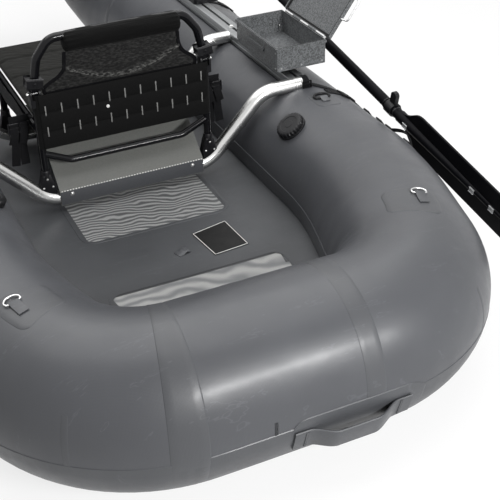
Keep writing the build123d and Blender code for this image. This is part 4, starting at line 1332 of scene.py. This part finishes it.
def stage():
    look = Look("studio_floor", (0.9, 0.9, 0.9), 0.9)
    mixer = show_white(look, look.shader.outputs[0], 0.8)
    look.tree.links.new(mixer.outputs[0], look.tree.nodes["Material Output"].inputs[0])
    mesh = bpy.data.meshes.new("studio_floor")
    half = 14.0
    corners = [(-half, -half, 0), (half, -half, 0), (half, half, 0), (-half, half, 0)]
    mesh.from_pydata(corners, [], [(0, 1, 2, 3)])
    mesh.materials.append(look.material)
    floor = bpy.data.objects.new("studio_floor", mesh)
    floor.location.z = -0.0005
    bpy.context.scene.collection.objects.link(floor)


def world():
    """A soft grey surround that looks white to the camera and in reflections."""
    surroundings = bpy.data.worlds.new("studio")
    bpy.context.scene.world = surroundings
    surroundings.use_nodes = True
    tree = surroundings.node_tree
    background = tree.nodes["Background"]
    background.inputs["Color"].default_value = (1, 1, 1, 1)
    ray = tree.nodes.new("ShaderNodeLightPath")
    seen = ray.outputs["Is Camera Ray"]
    for name in ("Is Glossy Ray", "Is Transmission Ray"):
        either = tree.nodes.new("ShaderNodeMath")
        either.operation = "MAXIMUM"
        tree.links.new(seen, either.inputs[0])
        tree.links.new(ray.outputs[name], either.inputs[1])
        seen = either.outputs[0]
    strength = tree.nodes.new("ShaderNodeMapRange")
    tree.links.new(seen, strength.inputs["Value"])
    strength.inputs["To Min"].default_value = WORLD_FILL
    strength.inputs["To Max"].default_value = 1.0
    tree.links.new(strength.outputs["Result"], background.inputs["Strength"])


def lamp(name, at, target, size, power):
    data = bpy.data.lights.new(name, "AREA")
    data.shape = "RECTANGLE"
    data.size, data.size_y = size
    data.energy = power
    obj = bpy.data.objects.new(name, data)
    obj.location = at
    obj.rotation_mode = "QUATERNION"
    obj.rotation_quaternion = (Vector(target) - Vector(at)).to_track_quat("-Z", "Y")
    bpy.context.scene.collection.objects.link(obj)


def lights():
    lamp("overhead_softbox", (0.2, 0.4, 3.2), (0.0, -0.1, 0.0), (4.2, 3.8), 136)
    lamp("rear_softbox", (0.85, -4.0, 1.85), (0.0, -1.0, 0.2), (1.3, 0.22), 135)
    lamp("front_left_fill", (-3.2, 2.4, 2.6), (0.0, 0.0, 0.2), (1.8, 1.4), 16)


def camera():
    yaw, pitch, roll = (math.radians(a) for a in (CAMERA_YAW, CAMERA_PITCH, CAMERA_ROLL))
    ahead = Vector((math.sin(yaw) * math.cos(pitch), math.cos(yaw) * math.cos(pitch), -math.sin(pitch)))
    level = Vector((math.cos(yaw), -math.sin(yaw), 0))
    above = level.cross(ahead)
    right = level * math.cos(roll) + above * math.sin(roll)
    top = above * math.cos(roll) - level * math.sin(roll)
    data = bpy.data.cameras.new("photo_camera")
    data.lens = CAMERA_LENS
    data.sensor_width = 36.0
    data.clip_end = 60.0
    obj = bpy.data.objects.new("photo_camera", data)
    axes = Matrix((right, top, -ahead)).transposed().to_4x4()
    obj.matrix_world = Matrix.Translation(CAMERA_AT) @ axes
    bpy.context.scene.collection.objects.link(obj)
    bpy.context.scene.camera = obj


def build():
    dress_nodes()
    build_tubes()
    build_seams()
    build_patches()
    build_valves()
    build_rings()
    build_handle("stern_handle", False, 0.092)
    build_handle("bow_handle", True, 0.0)
    build_tube_straps()
    build_floor()
    build_floor_details()
    build_cushion()
    build_panel()
    build_side_straps()
    build_bolster()
    build_net()
    build_brackets()
    build_seat_hardware()
    build_frame_hardware()
    build_box_details()
    build_oar_details()


build()
stage()
world()
lights()
camera()
bpy.context.scene.view_settings.view_transform = "Standard"
